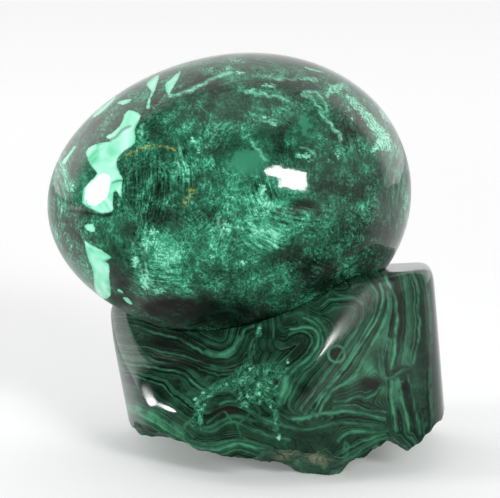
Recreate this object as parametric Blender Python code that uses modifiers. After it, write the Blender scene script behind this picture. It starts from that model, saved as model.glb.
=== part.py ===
"""A polished malachite egg lying in the hollow of a freeform malachite stand.

The stand has polished sides and top and a broken, lumpy underside, which is ground flat in one patch
that it rests on. The origin is on that patch, under the middle of the stand. +X runs along the egg to
its blunt end, +Y to the back and +Z up. Lengths are metres, except those said to be mm.
"""

import bmesh
import bpy
import numpy as np
from math import cos, pi, radians, sin
from mathutils import Vector

MM = 0.001
TOUCH_GAP = 0.3 * MM

# Egg: half its length, half its thickness, how much fatter its blunt end is, and how it lies
EGG_HALF_LENGTH = 55.0 * MM
EGG_HALF_WIDTH = 42.8 * MM
EGG_BLUNTNESS = 0.079
EGG_TILT = radians(5.6)
EGG_CENTRE = Vector((-14.6, 0.0, 77.8)) * MM
EGG_STATIONS = 34
EGG_STEPS = 52

# Stand: the point inside it that its polished surface is drawn out from, and its mesh
STAND_HEART = np.array((0.0, 0.0, 26.0)) * MM
STAND_REACH = 90.0 * MM
STAND_AROUND = 88
RINGS_POLISHED = 19
RINGS_BROKEN = 11
RINGS_IN_PATCH = 2
HALVINGS = 30

# Polished faces of the stand: outward direction, and a point on the face in mm
POLISHED_FACES = (
    ((-0.12, 0.13, 1.0), (35.0, 0.0, 56.3)),  # top
    ((-0.43, -0.43, 0.79), (-3.4, -28.2, 47.0)),  # upper left facet, which the egg leans over
    ((-0.36, -0.70, 0.57), (10.9, -43.5, 37.2)),  # sloping front facet, left of the ridge
    ((0.40, -0.91, 0.09), (6.9, -44.0, 36.7)),  # front face, right of the ridge
    ((0.00, -1.00, 0.08), (-4.0, -45.4, 20.0)),  # front face, low in the middle
    ((-0.49, -0.86, 0.04), (-25.8, -37.2, 20.6)),  # front face, low at the left
    ((-0.93, -0.36, -0.05), (-41.0, -27.9, 25.0)),  # narrow face round the left corner
    ((-1.0, 0.0, -0.225), (-51.3, -5.0, 36.6)),  # left face, leaning in towards its foot
    ((0.82, -0.57, 0.09), (45.0, -29.0, 25.0)),  # narrow face round the right corner
    ((0.995, -0.03, 0.09), (49.6, -8.0, 25.0)),  # right face
    ((0.72, 0.69, 0.14), (39.0, 29.0, 25.0)),  # right back corner
    ((0.08, 0.99, 0.15), (4.0, 41.0, 22.0)),  # back face
    ((-0.69, 0.71, 0.05), (-41.0, 30.0, 22.0)),  # left back corner
)
EDGE_ROUNDING = 1.6 * MM

# Lower edge, where polish ends and broken stone begins: degrees around the stand, height in mm
LOWER_EDGE = (
    (-162.0, 13.6),
    (-156.0, 15.0),
    (-146.0, 14.9),
    (-131.0, 13.1),
    (-119.0, 9.6),
    (-98.0, 8.7),
    (-94.0, 11.0),
    (-72.0, 10.2),
    (-67.0, 6.6),
    (-57.5, 8.6),
    (-50.0, 11.0),
    (-46.0, 12.0),
    (-40.0, 9.2),
    (-33.0, 13.0),
    (-24.0, 15.8),
    (-12.0, 15.6),
    (2.0, 13.2),
    (20.0, 10.2),
    (36.0, 6.4),
    (52.0, 9.8),
    (70.0, 11.4),
    (88.0, 8.6),
    (104.0, 7.4),
    (120.0, 11.0),
    (138.0, 7.6),
    (152.0, 7.6),
    (170.0, 11.4),
)
# Plan of the stand at the lower edge: half its length and depth in mm, and how square its corners are
EDGE_RADII = (49.0, 43.0)
EDGE_SQUARENESS = 3.0
# Ground patch: its middle and radii in mm, and its waves as count, start and share of the radius
PATCH_CENTRE = (0.0, 11.0)
PATCH_RADII = (27.0, 20.0)
PATCH_WAVES = ((3, 1.0, 0.06), (5, 0.3, 0.04))
# Broken underside: how soon and how fully it rises from the patch to the lower edge
UNDERSIDE_FALL = 4.0
UNDERSIDE_FULLNESS = 0.7
# Lumps (negative) and bites of the underside in mm: x, y, height, spread in x, spread in y
FRONT_FOOT = (10.5, -28.5, -8.2, 8.3, 4.8)
UNDERSIDE_LUMPS = (
    (4.0, -38.0, -2.2, 5.0, 3.0),
    (-24.0, -27.0, 1.8, 6.0, 4.5),
    (-41.0, -17.0, -1.8, 2.8, 2.2),
    (33.0, -27.0, 3.2, 4.0, 5.0),
    (39.0, -27.0, -2.6, 4.0, 4.0),
    (30.0, 27.0, -4.0, 6.5, 6.0),
    (-33.0, 27.0, -3.6, 6.0, 5.5),
    (12.0, 36.0, 3.0, 5.0, 4.0),
    (-13.0, 37.0, -2.6, 5.0, 3.5),
    (43.0, 8.0, 3.0, 4.0, 5.5),
    (-40.0, 8.0, 3.2, 4.5, 5.0),
)
# Long swells of the underside: height in mm, turns per mm in x and y, start
SWELLS = ((0.5, 0.31, 0.27, 1.5), (0.4, 0.23, -0.47, 0.0))
# Ledges of the banded stone: their step in mm, sharpness (under 1), and how their bands lean in x and y
LEDGE_STEP = 2.9
LEDGE_SHARPNESS = 0.8
LEDGE_LEAN = (0.03, 0.05)
TINY = 1e-6

# Colour and roughness of the stone of each piece
MALACHITE_LOOKS = {
    "egg": ((0.040, 0.150, 0.090, 1.0), 0.12),
    "stand": ((0.022, 0.085, 0.050, 1.0), 0.15),
}


def stone_material(name):
    """Plain green stone in the piece's own shade."""
    colour, roughness = MALACHITE_LOOKS[name]
    material = bpy.data.materials.new(name + "_malachite")
    material.use_nodes = True
    shader = material.node_tree.nodes["Principled BSDF"]
    shader.inputs["Base Color"].default_value = colour
    shader.inputs["Roughness"].default_value = roughness
    shader.inputs["Metallic"].default_value = 0.0
    material.diffuse_color = colour
    return material


def egg_outline(allowance):
    """Half outline of the egg from its blunt tip to its pointed tip, as (distance from axis, along axis)."""
    outline = []
    for station in range(EGG_STATIONS + 1):
        angle = pi * station / EGG_STATIONS
        fatness = (EGG_HALF_WIDTH + allowance) * (1.0 + EGG_BLUNTNESS * cos(angle))
        outline.append((fatness * sin(angle), (EGG_HALF_LENGTH + allowance) * cos(angle)))
    outline[0] = (0.0, outline[0][1])
    outline[-1] = (0.0, outline[-1][1])
    return outline


def turned_egg(name, collection, allowance=0.0):
    """The egg's outline turned about its long axis, and laid on its side."""
    mesh = bpy.data.meshes.new(name)
    edges = [(station, station + 1) for station in range(EGG_STATIONS)]
    mesh.from_pydata([(radius, 0.0, along) for radius, along in egg_outline(allowance)], edges, [])
    egg = bpy.data.objects.new(name, mesh)
    collection.objects.link(egg)
    turn = egg.modifiers.new("Turn", "SCREW")
    turn.axis = "Z"
    turn.steps = EGG_STEPS
    turn.render_steps = EGG_STEPS
    turn.use_merge_vertices = True
    turn.merge_threshold = 0.00001
    turn.use_smooth_shade = True
    egg.location = EGG_CENTRE
    egg.rotation_euler = (0.0, pi / 2 - EGG_TILT, 0.0)
    return egg


def polished_distance(points):
    """How far points lie outside the polished faces, blended near equal ones to round the edges."""
    distances = []
    for direction, place in POLISHED_FACES:
        outward = np.array(direction) / np.linalg.norm(direction)
        distances.append((points - np.array(place) * MM) @ outward)
    furthest = np.max(distances, axis=0)
    blend = np.exp((np.array(distances) - furthest) / EDGE_ROUNDING).sum(axis=0)
    return furthest + EDGE_ROUNDING * np.log(blend)


def bump(x, y, place):
    """A rounded rise of the underside, or with a negative height a lump that hangs down."""
    middle_x, middle_y, height, spread_x, spread_y = place
    return height * np.exp(-0.5 * (((x - middle_x) / spread_x) ** 2 + ((y - middle_y) / spread_y) ** 2))


def from_patch(x, y):
    """Distance from the middle of the ground patch, which is 1 on the patch's outline."""
    across, deep = (x - PATCH_CENTRE[0]) / PATCH_RADII[0], (y - PATCH_CENTRE[1]) / PATCH_RADII[1]
    angle = np.arctan2(deep, across)
    wavy = 1.0 + sum(share * np.sin(count * angle + start) for count, start, share in PATCH_WAVES)
    return np.hypot(across, deep) / wavy


def underside_height(points):
    """Height of the broken underside at each point's place in plan."""
    x, y = points[:, 0] / MM, points[:, 1] / MM
    angles, heights = zip(*LOWER_EDGE)
    edge = np.interp(np.degrees(np.arctan2(y, x)), angles, heights, period=360.0)
    powers = np.abs(x / EDGE_RADII[0]) ** EDGE_SQUARENESS + np.abs(y / EDGE_RADII[1]) ** EDGE_SQUARENESS
    inside_edge = np.maximum(1.0 - powers ** (1.0 / EDGE_SQUARENESS), 0.0)
    outside_patch = np.maximum(from_patch(x, y) - 1.0, 0.0)
    outwards = outside_patch / (outside_patch + UNDERSIDE_FALL * inside_edge + TINY)
    height = edge * outwards**UNDERSIDE_FULLNESS
    for place in UNDERSIDE_LUMPS:
        height += bump(x, y, place)
    for rise, turns_x, turns_y, start in SWELLS:
        height += rise * np.sin(turns_x * x + turns_y * y + start)
    band = height + LEDGE_LEAN[0] * x + LEDGE_LEAN[1] * y
    height -= LEDGE_SHARPNESS * LEDGE_STEP / (2.0 * pi) * np.sin(2.0 * pi * band / LEDGE_STEP)
    height += bump(x, y, FRONT_FOOT)
    return np.where(outside_patch > TINY, np.maximum(height, 0.0), 0.0) * MM


def polished_points(around, down):
    """Points of the polished surface, seen from the stand's heart around and down from upright."""
    directions = np.stack([np.sin(down) * np.cos(around), np.sin(down) * np.sin(around), np.cos(down)], axis=1)
    low, high = np.zeros(len(around)), np.full(len(around), STAND_REACH)
    for _ in range(HALVINGS):
        middle = 0.5 * (low + high)
        beyond = polished_distance(STAND_HEART + directions * middle[:, None]) > 0.0
        high = np.where(beyond, middle, high)
        low = np.where(beyond, low, middle)
    return STAND_HEART + directions * low[:, None]


def lower_edge_angle(around):
    """The angle down from upright at which the polished side meets the broken underside."""
    low, high = np.full(len(around), 0.30 * pi), np.full(len(around), 0.80 * pi)
    for _ in range(HALVINGS):
        middle = 0.5 * (low + high)
        points = polished_points(around, middle)
        above = points[:, 2] > underside_height(points)
        low = np.where(above, middle, low)
        high = np.where(above, high, middle)
    return 0.5 * (low + high)


def underside_points(around, edge, ring):
    """Points of the broken underside, by rings from the lower edge in to the middle of the ground patch."""
    rim = polished_points(around, edge)
    middle = np.array((*PATCH_CENTRE, 0.0)) * MM
    outline = middle + (rim - middle) / from_patch(rim[:, 0] / MM, rim[:, 1] / MM)[:, None]
    to_outline = np.clip(ring / RINGS_BROKEN, 0.0, 1.0)[:, None]
    to_middle = np.clip((ring - RINGS_BROKEN) / RINGS_IN_PATCH, 0.0, 1.0)[:, None]
    points = rim + (outline - rim) * to_outline
    points += (middle - points) * to_middle
    points[:, 2] = underside_height(points)
    return points


def stand_block(collection):
    """The whole block before the egg's hollow is cut, with rings of its mesh along edge and patch."""
    mesh = bpy.data.meshes.new("stand")
    rings = RINGS_POLISHED + RINGS_BROKEN + RINGS_IN_PATCH
    shape = bmesh.new()
    bmesh.ops.create_uvsphere(shape, u_segments=STAND_AROUND, v_segments=rings, radius=1.0)
    shape.to_mesh(mesh)
    shape.free()
    ball = np.empty(len(mesh.vertices) * 3)
    mesh.vertices.foreach_get("co", ball)
    ball = ball.reshape(-1, 3)
    around = np.arctan2(ball[:, 1], ball[:, 0])
    ring = np.round(np.arccos(np.clip(ball[:, 2], -1.0, 1.0)) / pi * rings)
    edge = lower_edge_angle(around)
    upper = polished_points(around, edge * np.minimum(ring / RINGS_POLISHED, 1.0))
    lower = underside_points(around, edge, ring - RINGS_POLISHED)
    is_lower = (ring > RINGS_POLISHED)[:, None]
    mesh.vertices.foreach_set("co", np.where(is_lower, lower, upper).ravel())
    mesh.update()
    stand = bpy.data.objects.new("stand", mesh)
    collection.objects.link(stand)
    return stand


def cut_hollow(stand, cutter):
    """The hollow in the top of the stand, a little larger than the egg that lies in it."""
    cutter.hide_render = True
    cutter.display_type = "WIRE"
    hollow = stand.modifiers.new("Hollow", "BOOLEAN")
    hollow.operation = "DIFFERENCE"
    hollow.solver = "EXACT"
    hollow.object = cutter


def main():
    for item in list(bpy.data.objects):
        bpy.data.objects.remove(item, do_unlink=True)
    parts = bpy.data.collections.new("malachite_egg")
    cutters = bpy.data.collections.new("cutters")
    bpy.context.scene.collection.children.link(parts)
    bpy.context.scene.collection.children.link(cutters)

    egg = turned_egg("egg", parts)
    egg.data.materials.append(stone_material("egg"))

    stand = stand_block(parts)
    cut_hollow(stand, turned_egg("hollow_cutter", cutters, TOUCH_GAP))
    stand.data.materials.append(stone_material("stand"))
    stand.data.shade_smooth()
    stand.data.set_sharp_from_angle(angle=radians(35.0))


main()
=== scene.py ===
"""Looks of a polished malachite egg lying in the hollow of its freeform malachite stand.

Both stones are drawn again with fine meshes around the same shapes as the frame's. The course of the
bands, veins and pale patches is given by a few outlines and lines laid out on the front view, in picture
pixels, and carried onto the stones from there. Lengths are mm, and metres only where Blender takes them.
"""

from math import cos, pi, radians, sin

import bmesh
import bpy
import numpy as np
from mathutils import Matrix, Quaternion, Vector, noise


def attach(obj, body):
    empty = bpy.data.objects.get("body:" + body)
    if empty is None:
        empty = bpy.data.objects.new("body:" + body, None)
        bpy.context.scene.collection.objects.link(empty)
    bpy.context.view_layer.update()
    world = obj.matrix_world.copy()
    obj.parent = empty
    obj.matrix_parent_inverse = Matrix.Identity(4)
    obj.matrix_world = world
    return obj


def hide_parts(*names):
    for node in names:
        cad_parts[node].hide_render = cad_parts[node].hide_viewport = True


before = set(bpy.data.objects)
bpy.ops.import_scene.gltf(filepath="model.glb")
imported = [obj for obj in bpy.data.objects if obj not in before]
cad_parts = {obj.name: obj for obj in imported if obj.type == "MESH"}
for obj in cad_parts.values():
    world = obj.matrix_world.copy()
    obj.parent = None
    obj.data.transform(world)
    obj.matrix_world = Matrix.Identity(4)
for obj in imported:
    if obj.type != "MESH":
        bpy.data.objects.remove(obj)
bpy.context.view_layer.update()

MM = 0.001
TINY = 1e-6

# Front view that the outlines and lines are laid out on, and that the camera takes
PICTURE_WIDTH, PICTURE_HEIGHT = 500, 498
VIEW_TARGET = np.array((-8.3, 0.0, 61.8))
VIEW_ELEVATION = radians(10.0)
VIEW_DISTANCE = 800.0
MM_TO_A_PIXEL = 0.303
VIEW_FORWARD = np.array((0.0, cos(VIEW_ELEVATION), -sin(VIEW_ELEVATION)))
VIEW_UPWARD = np.array((0.0, sin(VIEW_ELEVATION), cos(VIEW_ELEVATION)))
VIEW_EYE = VIEW_TARGET - VIEW_DISTANCE * VIEW_FORWARD
PATH_STEP = 5.0
FAR_OUTSIDE = 9.0
BAND_REACH, FAR_SHARE = 50.0, 1e-6

# Egg, as in the frame: half length, half thickness, how much fatter its blunt end is, and how it lies
EGG_HALF_LENGTH = 55.0
EGG_HALF_WIDTH = 42.8
EGG_BLUNTNESS = 0.079
EGG_TILT = radians(5.6)
EGG_CENTRE = np.array((-14.6, 0.0, 77.8))
EGG_AXIS = np.array((cos(EGG_TILT), 0.0, sin(EGG_TILT)))
EGG_UPWARD = np.array((-sin(EGG_TILT), 0.0, cos(EGG_TILT)))
EGG_AROUND = 400
EGG_STATIONS = 244
TOUCH_GAP = 0.3

# Stand, as in the frame
STAND_HEART = np.array((0.0, 0.0, 26.0))
STAND_REACH = 90.0
POLISHED_FACES = (
    ((-0.12, 0.13, 1.0), (35.0, 0.0, 56.3)),
    ((-0.43, -0.43, 0.79), (-3.4, -28.2, 47.0)),
    ((-0.36, -0.70, 0.57), (10.9, -43.5, 37.2)),
    ((0.40, -0.91, 0.09), (6.9, -44.0, 36.7)),
    ((0.00, -1.00, 0.08), (-4.0, -45.4, 20.0)),
    ((-0.49, -0.86, 0.04), (-25.8, -37.2, 20.6)),
    ((-0.93, -0.36, -0.05), (-41.0, -27.9, 25.0)),
    ((-1.0, 0.0, -0.225), (-51.3, -5.0, 36.6)),
    ((0.82, -0.57, 0.09), (45.0, -29.0, 25.0)),
    ((0.995, -0.03, 0.09), (49.6, -8.0, 25.0)),
    ((0.72, 0.69, 0.14), (39.0, 29.0, 25.0)),
    ((0.08, 0.99, 0.15), (4.0, 41.0, 22.0)),
    ((-0.69, 0.71, 0.05), (-41.0, 30.0, 22.0)),
)
EDGE_ROUNDING = 1.6
LOWER_EDGE = (
    (-162.0, 13.6),
    (-156.0, 15.0),
    (-146.0, 14.9),
    (-131.0, 13.1),
    (-119.0, 9.6),
    (-98.0, 8.7),
    (-94.0, 11.0),
    (-72.0, 10.2),
    (-67.0, 6.6),
    (-57.5, 8.6),
    (-50.0, 11.0),
    (-46.0, 12.0),
    (-40.0, 9.2),
    (-33.0, 13.0),
    (-24.0, 15.8),
    (-12.0, 15.6),
    (2.0, 13.2),
    (20.0, 10.2),
    (36.0, 6.4),
    (52.0, 9.8),
    (70.0, 11.4),
    (88.0, 8.6),
    (104.0, 7.4),
    (120.0, 11.0),
    (138.0, 7.6),
    (152.0, 7.6),
    (170.0, 11.4),
)
EDGE_RADII = (49.0, 43.0)
EDGE_SQUARENESS = 3.0
PATCH_CENTRE = (0.0, 11.0)
PATCH_RADII = (27.0, 20.0)
PATCH_WAVES = ((3, 1.0, 0.06), (5, 0.3, 0.04))
UNDERSIDE_FALL = 4.0
UNDERSIDE_FULLNESS = 0.7
FRONT_FOOT = (10.5, -28.5, -8.2, 8.3, 4.8)
UNDERSIDE_LUMPS = (
    (4.0, -38.0, -2.2, 5.0, 3.0),
    (-24.0, -27.0, 1.8, 6.0, 4.5),
    (-41.0, -17.0, -1.8, 2.8, 2.2),
    (33.0, -27.0, 3.2, 4.0, 5.0),
    (39.0, -27.0, -2.6, 4.0, 4.0),
    (30.0, 27.0, -4.0, 6.5, 6.0),
    (-33.0, 27.0, -3.6, 6.0, 5.5),
    (12.0, 36.0, 3.0, 5.0, 4.0),
    (-13.0, 37.0, -2.6, 5.0, 3.5),
    (43.0, 8.0, 3.0, 4.0, 5.5),
    (-40.0, 8.0, 3.2, 4.5, 5.0),
)
SWELLS = ((0.5, 0.31, 0.27, 1.5), (0.4, 0.23, -0.47, 0.0))
LEDGE_STEP = 2.9
LEDGE_SHARPNESS = 0.8
LEDGE_LEAN = (0.03, 0.05)

# Slight long swell that hand polishing left on the stand: place, course, height, and spread along it and upwards
SWELL_PLACE = (-26.3, -36.9, 18.4)
SWELL_COURSE = (0.86, -0.47, -0.20)
SWELL_HEIGHT, SWELL_SPREAD_ALONG, SWELL_SPREAD_UP = 1.2, 5.4, 2.2

# Mesh of the stand: columns around it, and rings on its seat, polished sides, broken underside and patch
STAND_AROUND = 520
SEAT_RINGS = 12
SIDE_RINGS = 126
BROKEN_RINGS = 44
PATCH_RINGS = 6
HALVINGS = 26
FRONT_CROWDING = 0.45
# How far the polish runs on below the edge at the front left
POLISHED_BELOW = 3.5
# Broken stone: chips along its edge and its grain, each with the height and the turns per mm
CHIPS = (0.22, 0.40)
GRAIN = ((0.42, 0.16), (0.30, 0.45), (0.20, 1.1))

# Pale mint patches of the egg's front, as outlines
EGG_MINT_OUTLINES = (
    # big folded patch
    (
        (129, 110), (136, 112), (141, 116), (138, 123), (135, 129), (135.5, 142), (129, 148), (121, 154),
        (117.5, 160), (117, 167), (120, 174), (123, 179), (121.6, 189), (121.6, 199), (115, 190), (113, 198),
        (113, 206), (112.5, 211), (102.5, 213.5), (93.6, 210), (83.4, 204.5), (82, 199), (84, 188),
        (91, 180), (97, 174), (91, 166), (88, 160), (86, 152), (91, 146), (101, 142.7), (111, 141),
        (105, 137), (112, 133), (121, 124), (124, 115),
    ),
    # patch on the lower left rim
    (
        (84.8, 240.5), (91, 245), (99, 248.5), (106, 253), (111.6, 257.5), (105, 261.5), (109, 264),
        (109.5, 280), (110.5, 296), (102, 299), (95, 290), (93.5, 275), (90, 263), (86, 252),
    ),
    # wedges that hang from the top rim
    ((146, 84), (159, 74), (157.5, 82), (155.5, 90), (151, 98), (149.5, 109), (146, 109), (148, 99), (151, 91)),
    ((165, 84), (172, 78), (181, 70), (178, 79), (174, 86), (171, 92), (168.5, 96), (166, 90)),
    ((116, 103), (124, 100), (132, 99), (130, 102), (123, 105)),
    ((93, 115), (100, 108), (108, 102), (116, 95.5), (115, 99), (107, 108), (100, 114), (93, 118)),
    ((62, 162), (68, 154), (75, 145), (76, 147), (70, 156), (64, 165)),
    # bars and eyes
    ((304, 66.5), (313, 69), (321, 71), (321, 72.5), (312, 70.5), (304, 68)),
    ((118, 288.5), (123, 291), (123, 293.5), (117, 291)),
    ((122, 298), (127, 297), (133, 304), (131, 305), (125, 301)),
    ((84, 225), (93, 224), (95, 232), (88, 231)),
)
# Patches of the egg where its needles crowd into a pale green leaf, as outlines
EGG_LEAF_OUTLINES = (
    (
        (141, 242), (148, 234), (158, 228.5), (161, 235), (170, 233), (176, 240), (180, 250), (183, 262), (182, 272),
        (178, 281), (170, 285), (163, 292), (156, 289), (150, 278), (146, 264), (143, 252),
    ),
    ((130, 248), (133, 256), (136, 264), (141, 274), (147, 284), (151, 293), (146, 289), (139, 278), (133, 266)),
    ((249, 196), (262, 190), (272, 196), (284, 200), (296, 205), (290, 210), (276, 208), (262, 206), (252, 203)),
    ((252, 226), (264, 222), (276, 226), (286, 233), (280, 244), (268, 250), (256, 246), (248, 238)),
)
# Broken, grainy patches of the egg along its right rim, as outlines
EGG_GRAINY_OUTLINES = (
    (
        (344, 94), (352, 96), (359, 102), (365, 108), (372, 115), (378, 122), (385, 128), (390, 136),
        (392, 148), (386, 152), (378, 150), (370, 154), (373, 146), (377, 138), (372, 131), (366, 122),
        (360, 115), (353, 107),
    ),
    ((326, 92), (334, 84), (345, 84), (344, 90), (337, 92), (332, 94), (326, 98)),
    ((378, 106), (385, 114), (391, 124), (388, 124), (381, 116)),
)
# Small grainy patches of the egg: x, y, half width, half height
EGG_MINT_SPOTS = (
    (72, 187, 3.2, 5.0),
    (273, 124, 4.0, 2.6),
    (267, 117.5, 5.0, 1.8),
    (306, 155.5, 5.0, 3.4),
    (338, 153, 2.6, 4.4),
    (330, 161, 2.6, 1.8),
    (299, 155, 3.0, 3.0),
    (252, 91, 3.2, 2.2),
    (267, 85.5, 7.0, 2.2),
    (264, 94, 2.6, 1.8),
    (236, 61, 6.0, 1.6),
    (229, 68, 5.0, 2.0),
    (240, 73, 4.0, 2.0),
    (145, 241, 3.6, 6.0),
    (135, 262, 4.4, 7.0),
    (145, 280, 4.6, 11.0),
    (160, 290, 7.0, 3.0),
    (152, 232, 6.0, 3.4),
    (348, 110, 2.6, 1.6),
    (352, 119, 1.8, 2.2),
    (200, 152, 3.0, 2.0),
    (193, 140, 3.0, 4.0),
    (300, 178, 4.0, 2.0),
    (262, 190, 4.0, 7.0),
    (270, 205, 6.0, 4.0),
    (226, 226, 3.0, 5.0),
    (244, 262, 4.0, 3.0),
)
# Thin light lines of the egg: strength, half width, course
EGG_LINES = (
    (1.0, 1.3, ((169, 94.5), (174, 95.5), (179, 93.8), (193, 88.5), (204, 83), (213, 79), (222, 75), (231, 71.5))),
    (0.7, 1.0, ((265, 76), (272, 78), (281, 78.8), (296, 78.6), (309, 79), (318, 80.5))),
    (0.8, 1.2, ((247, 91), (253, 93), (258, 95.5), (264, 93.5), (268, 95.5), (276, 96), (283, 99), (290, 101))),
    (0.9, 0.9, ((301, 97), (304, 92), (310, 91.5), (317, 93), (321, 98), (326, 104), (328, 109), (324, 113))),
    (0.8, 0.9, ((303, 97), (309, 96), (313, 99), (316, 104), (320, 107), (322, 112), (320, 115))),
    (0.9, 1.2, ((320, 113), (324, 118), (330, 123), (335, 130), (340, 134), (341, 139))),
    (0.8, 1.1, ((252, 143), (255, 147), (259, 151), (263, 158), (266, 161))),
    (0.6, 0.8, ((262, 121), (268, 120), (277, 119))),
    (0.6, 0.8, ((300, 147), (306, 149), (314, 153), (315, 159), (309, 162))),
    (1.0, 0.9, ((143.5, 124.5), (141, 131), (140, 139))),
    (0.5, 0.8, ((217, 125), (214, 132), (210, 141), (206, 149))),
    (0.5, 0.9, ((180, 147), (181, 156), (179, 166), (176, 176))),
    (0.45, 0.8, ((131, 240), (134, 250), (137, 262), (143, 275), (150, 289))),
    (0.6, 0.9, ((140, 242), (143, 254), (147, 268), (152, 284), (160, 293))),
    (0.45, 0.8, ((147, 90), (149, 100), (154, 108), (160, 101), (165, 95))),
    (0.5, 0.8, ((217, 216), (225, 222), (232, 227))),
    (0.5, 0.8, ((217, 219), (220, 229), (224, 240))),
)
# Gold fibres of the egg: strength, half width, course
EGG_GOLD = (
    (1.0, 1.2, ((124, 157), (129, 154), (137, 150.5), (146, 147), (156, 145.5), (165, 146.5), (174, 149), (176, 151))),
    (1.0, 2.4, ((192, 190), (189, 197), (185, 204))),
    (0.5, 1.4, ((96, 120), (99, 117))),
)
# Dark cracks and seams of the egg: strength, half width, course
EGG_CRACKS = (
    (0.8, 0.8, ((113, 182.5), (117, 181), (123, 180.5), (128, 181))),
    (0.9, 1.8, ((70, 211), (80, 212), (92, 213.5), (104, 216), (112, 214))),
    (0.8, 0.8, ((84, 245), (79, 236), (70, 227))),
    (0.9, 2.4, ((176, 91), (184, 87.5), (197, 82), (212, 75.5))),
    (0.7, 1.2, ((108, 140.5), (116, 137), (122, 130), (130, 126))),
    (0.6, 0.9, ((143, 248), (147, 262), (151, 276), (158, 288))),
    (0.7, 0.7, ((104, 261), (108, 259))),
    (0.5, 1.2, ((300, 90), (294, 97), (290, 101))),
)
# Large lighter (above 0) and darker places of the egg: x, y, half width, half height, turn in degrees, amount. Most are
# the stone's own tone; the dark ones low on the egg beside the stand are painted shade
EGG_SHADES = (
    (122, 145, 11, 13, 0, 0.35),
    (131, 118, 8, 9, 0, -0.75),
    (95, 158, 8, 10, 0, -0.25),
    (62, 178, 8, 36, 8, 0.55),
    (74, 200, 8, 10, 0, -0.35),
    (246, 160, 19, 13, 0, 0.55),
    (240, 180, 12, 12, 0, 0.30),
    (303, 126, 12, 13, 0, 0.30),
    (260, 205, 36, 14, -24, 0.40),
    (285, 185, 34, 12, -20, 0.30),
    (264, 239, 22, 16, 30, 0.60),
    (312, 222, 34, 6, 10, 0.25),
    (164, 258, 20, 28, 0, 0.22),
    # painted shade: this place and the next darken the egg's underside where it sits in the stand
    (205, 322, 70, 8, 6, -0.55),
    (160, 308, 20, 8, 14, -0.60),
    (212, 238, 32, 18, 0, 0.22),
    (192, 130, 14, 26, 20, 0.15),
    (240, 284, 30, 10, 10, 0.10),
    (155, 130, 26, 18, 0, -0.12),
    (352, 125, 18, 28, -30, -0.85),
    (380, 190, 14, 50, 0, -0.20),
    (350, 185, 34, 16, 0, -0.60),
    (345, 225, 40, 14, -8, -0.35),
    (300, 206, 20, 5, 10, -0.60),
    (78, 222, 18, 16, 0, -0.60),
    (158, 165, 26, 18, 0, -0.15),
    (145, 200, 20, 14, 0, -0.15),
    (200, 80, 24, 7, -20, -0.75),
    (155, 100, 8, 14, 0, -0.60),
    (282, 84, 26, 5, 0, -0.50),
    (215, 105, 44, 20, -10, -0.15),
    (225, 195, 22, 26, 0, 0.15),
    (283, 138, 8, 20, 0, -0.45),
    (186, 216, 44, 10, 0, -0.45),
    (122, 272, 12, 34, 0, -0.55),
    # painted shade: these three darken the egg's lower part next to the stand's rim
    (180, 308, 60, 12, 4, -0.75),
    (240, 316, 80, 14, -8, -0.80),
    (330, 282, 50, 18, -30, -0.90),
    (375, 245, 26, 30, -40, -0.50),
    (96, 132, 20, 12, -40, -0.20),
)
# Places of the egg where its grain is smooth: x, y, half width, half height, turn in degrees, amount
EGG_SMOOTH = (
    (246, 160, 20, 14, 0, 1.0),
    (303, 128, 15, 15, 0, 0.9),
    (225, 108, 18, 16, 0, 0.6),
    (268, 142, 12, 20, 0, 0.6),
    (330, 165, 34, 14, 0, 0.5),
    (305, 203, 26, 6, 0, 0.6),
    (285, 60, 70, 12, 0, 0.8),
    (118, 268, 16, 34, 0, 0.7),
    (120, 225, 18, 12, 0, 0.5),
    (85, 170, 16, 40, 0, 0.4),
    (240, 312, 90, 14, -6, 0.5),
    (390, 200, 14, 60, 0, 0.5),
)
# Places of the egg whose fibres lie side by side: x, y, half width, half height, how the fibres lie in degrees
# from the vertical, their bend, and how strongly they show
EGG_COMBS = (
    (152, 188, 24, 34, -4, -0.004, 0.9),
    (186, 170, 18, 40, 8, -0.004, 0.8),
    (158, 272, 24, 20, 84, 0.004, 1.3),
    (150, 255, 10, 36, -20, 0.0, 0.7),
    (262, 198, 24, 20, 24, 0.006, 1.0),
    (292, 216, 40, 14, 76, 0.003, 0.9),
    (262, 238, 24, 16, 58, 0.006, 1.0),
    (226, 232, 16, 26, -26, 0.0, 0.9),
    (398, 190, 14, 70, -6, 0.003, 0.9),
    (366, 215, 30, 20, 66, 0.004, 0.5),
    (62, 190, 14, 46, 10, -0.006, 1.3),
    (66, 235, 14, 30, -20, 0.0, 0.7),
    (330, 262, 50, 16, 68, 0.002, 0.5),
    (270, 66, 60, 10, 84, 0.002, 0.6),
    (350, 140, 14, 30, 14, 0.0, 0.6),
)
# Pale ribbons and broken patches on the egg's back: how many turns each takes per mm, along x, y and z, and the
# level above which they show
BACK_RIBBONS = (0.036, 0.080, 0.100, 0.40)
BACK_GRAINS = (0.080, 0.120, 0.150, 0.32)
BACK_STEEPNESS = 20.0
GRAINY_DEPTH = 1.8

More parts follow.
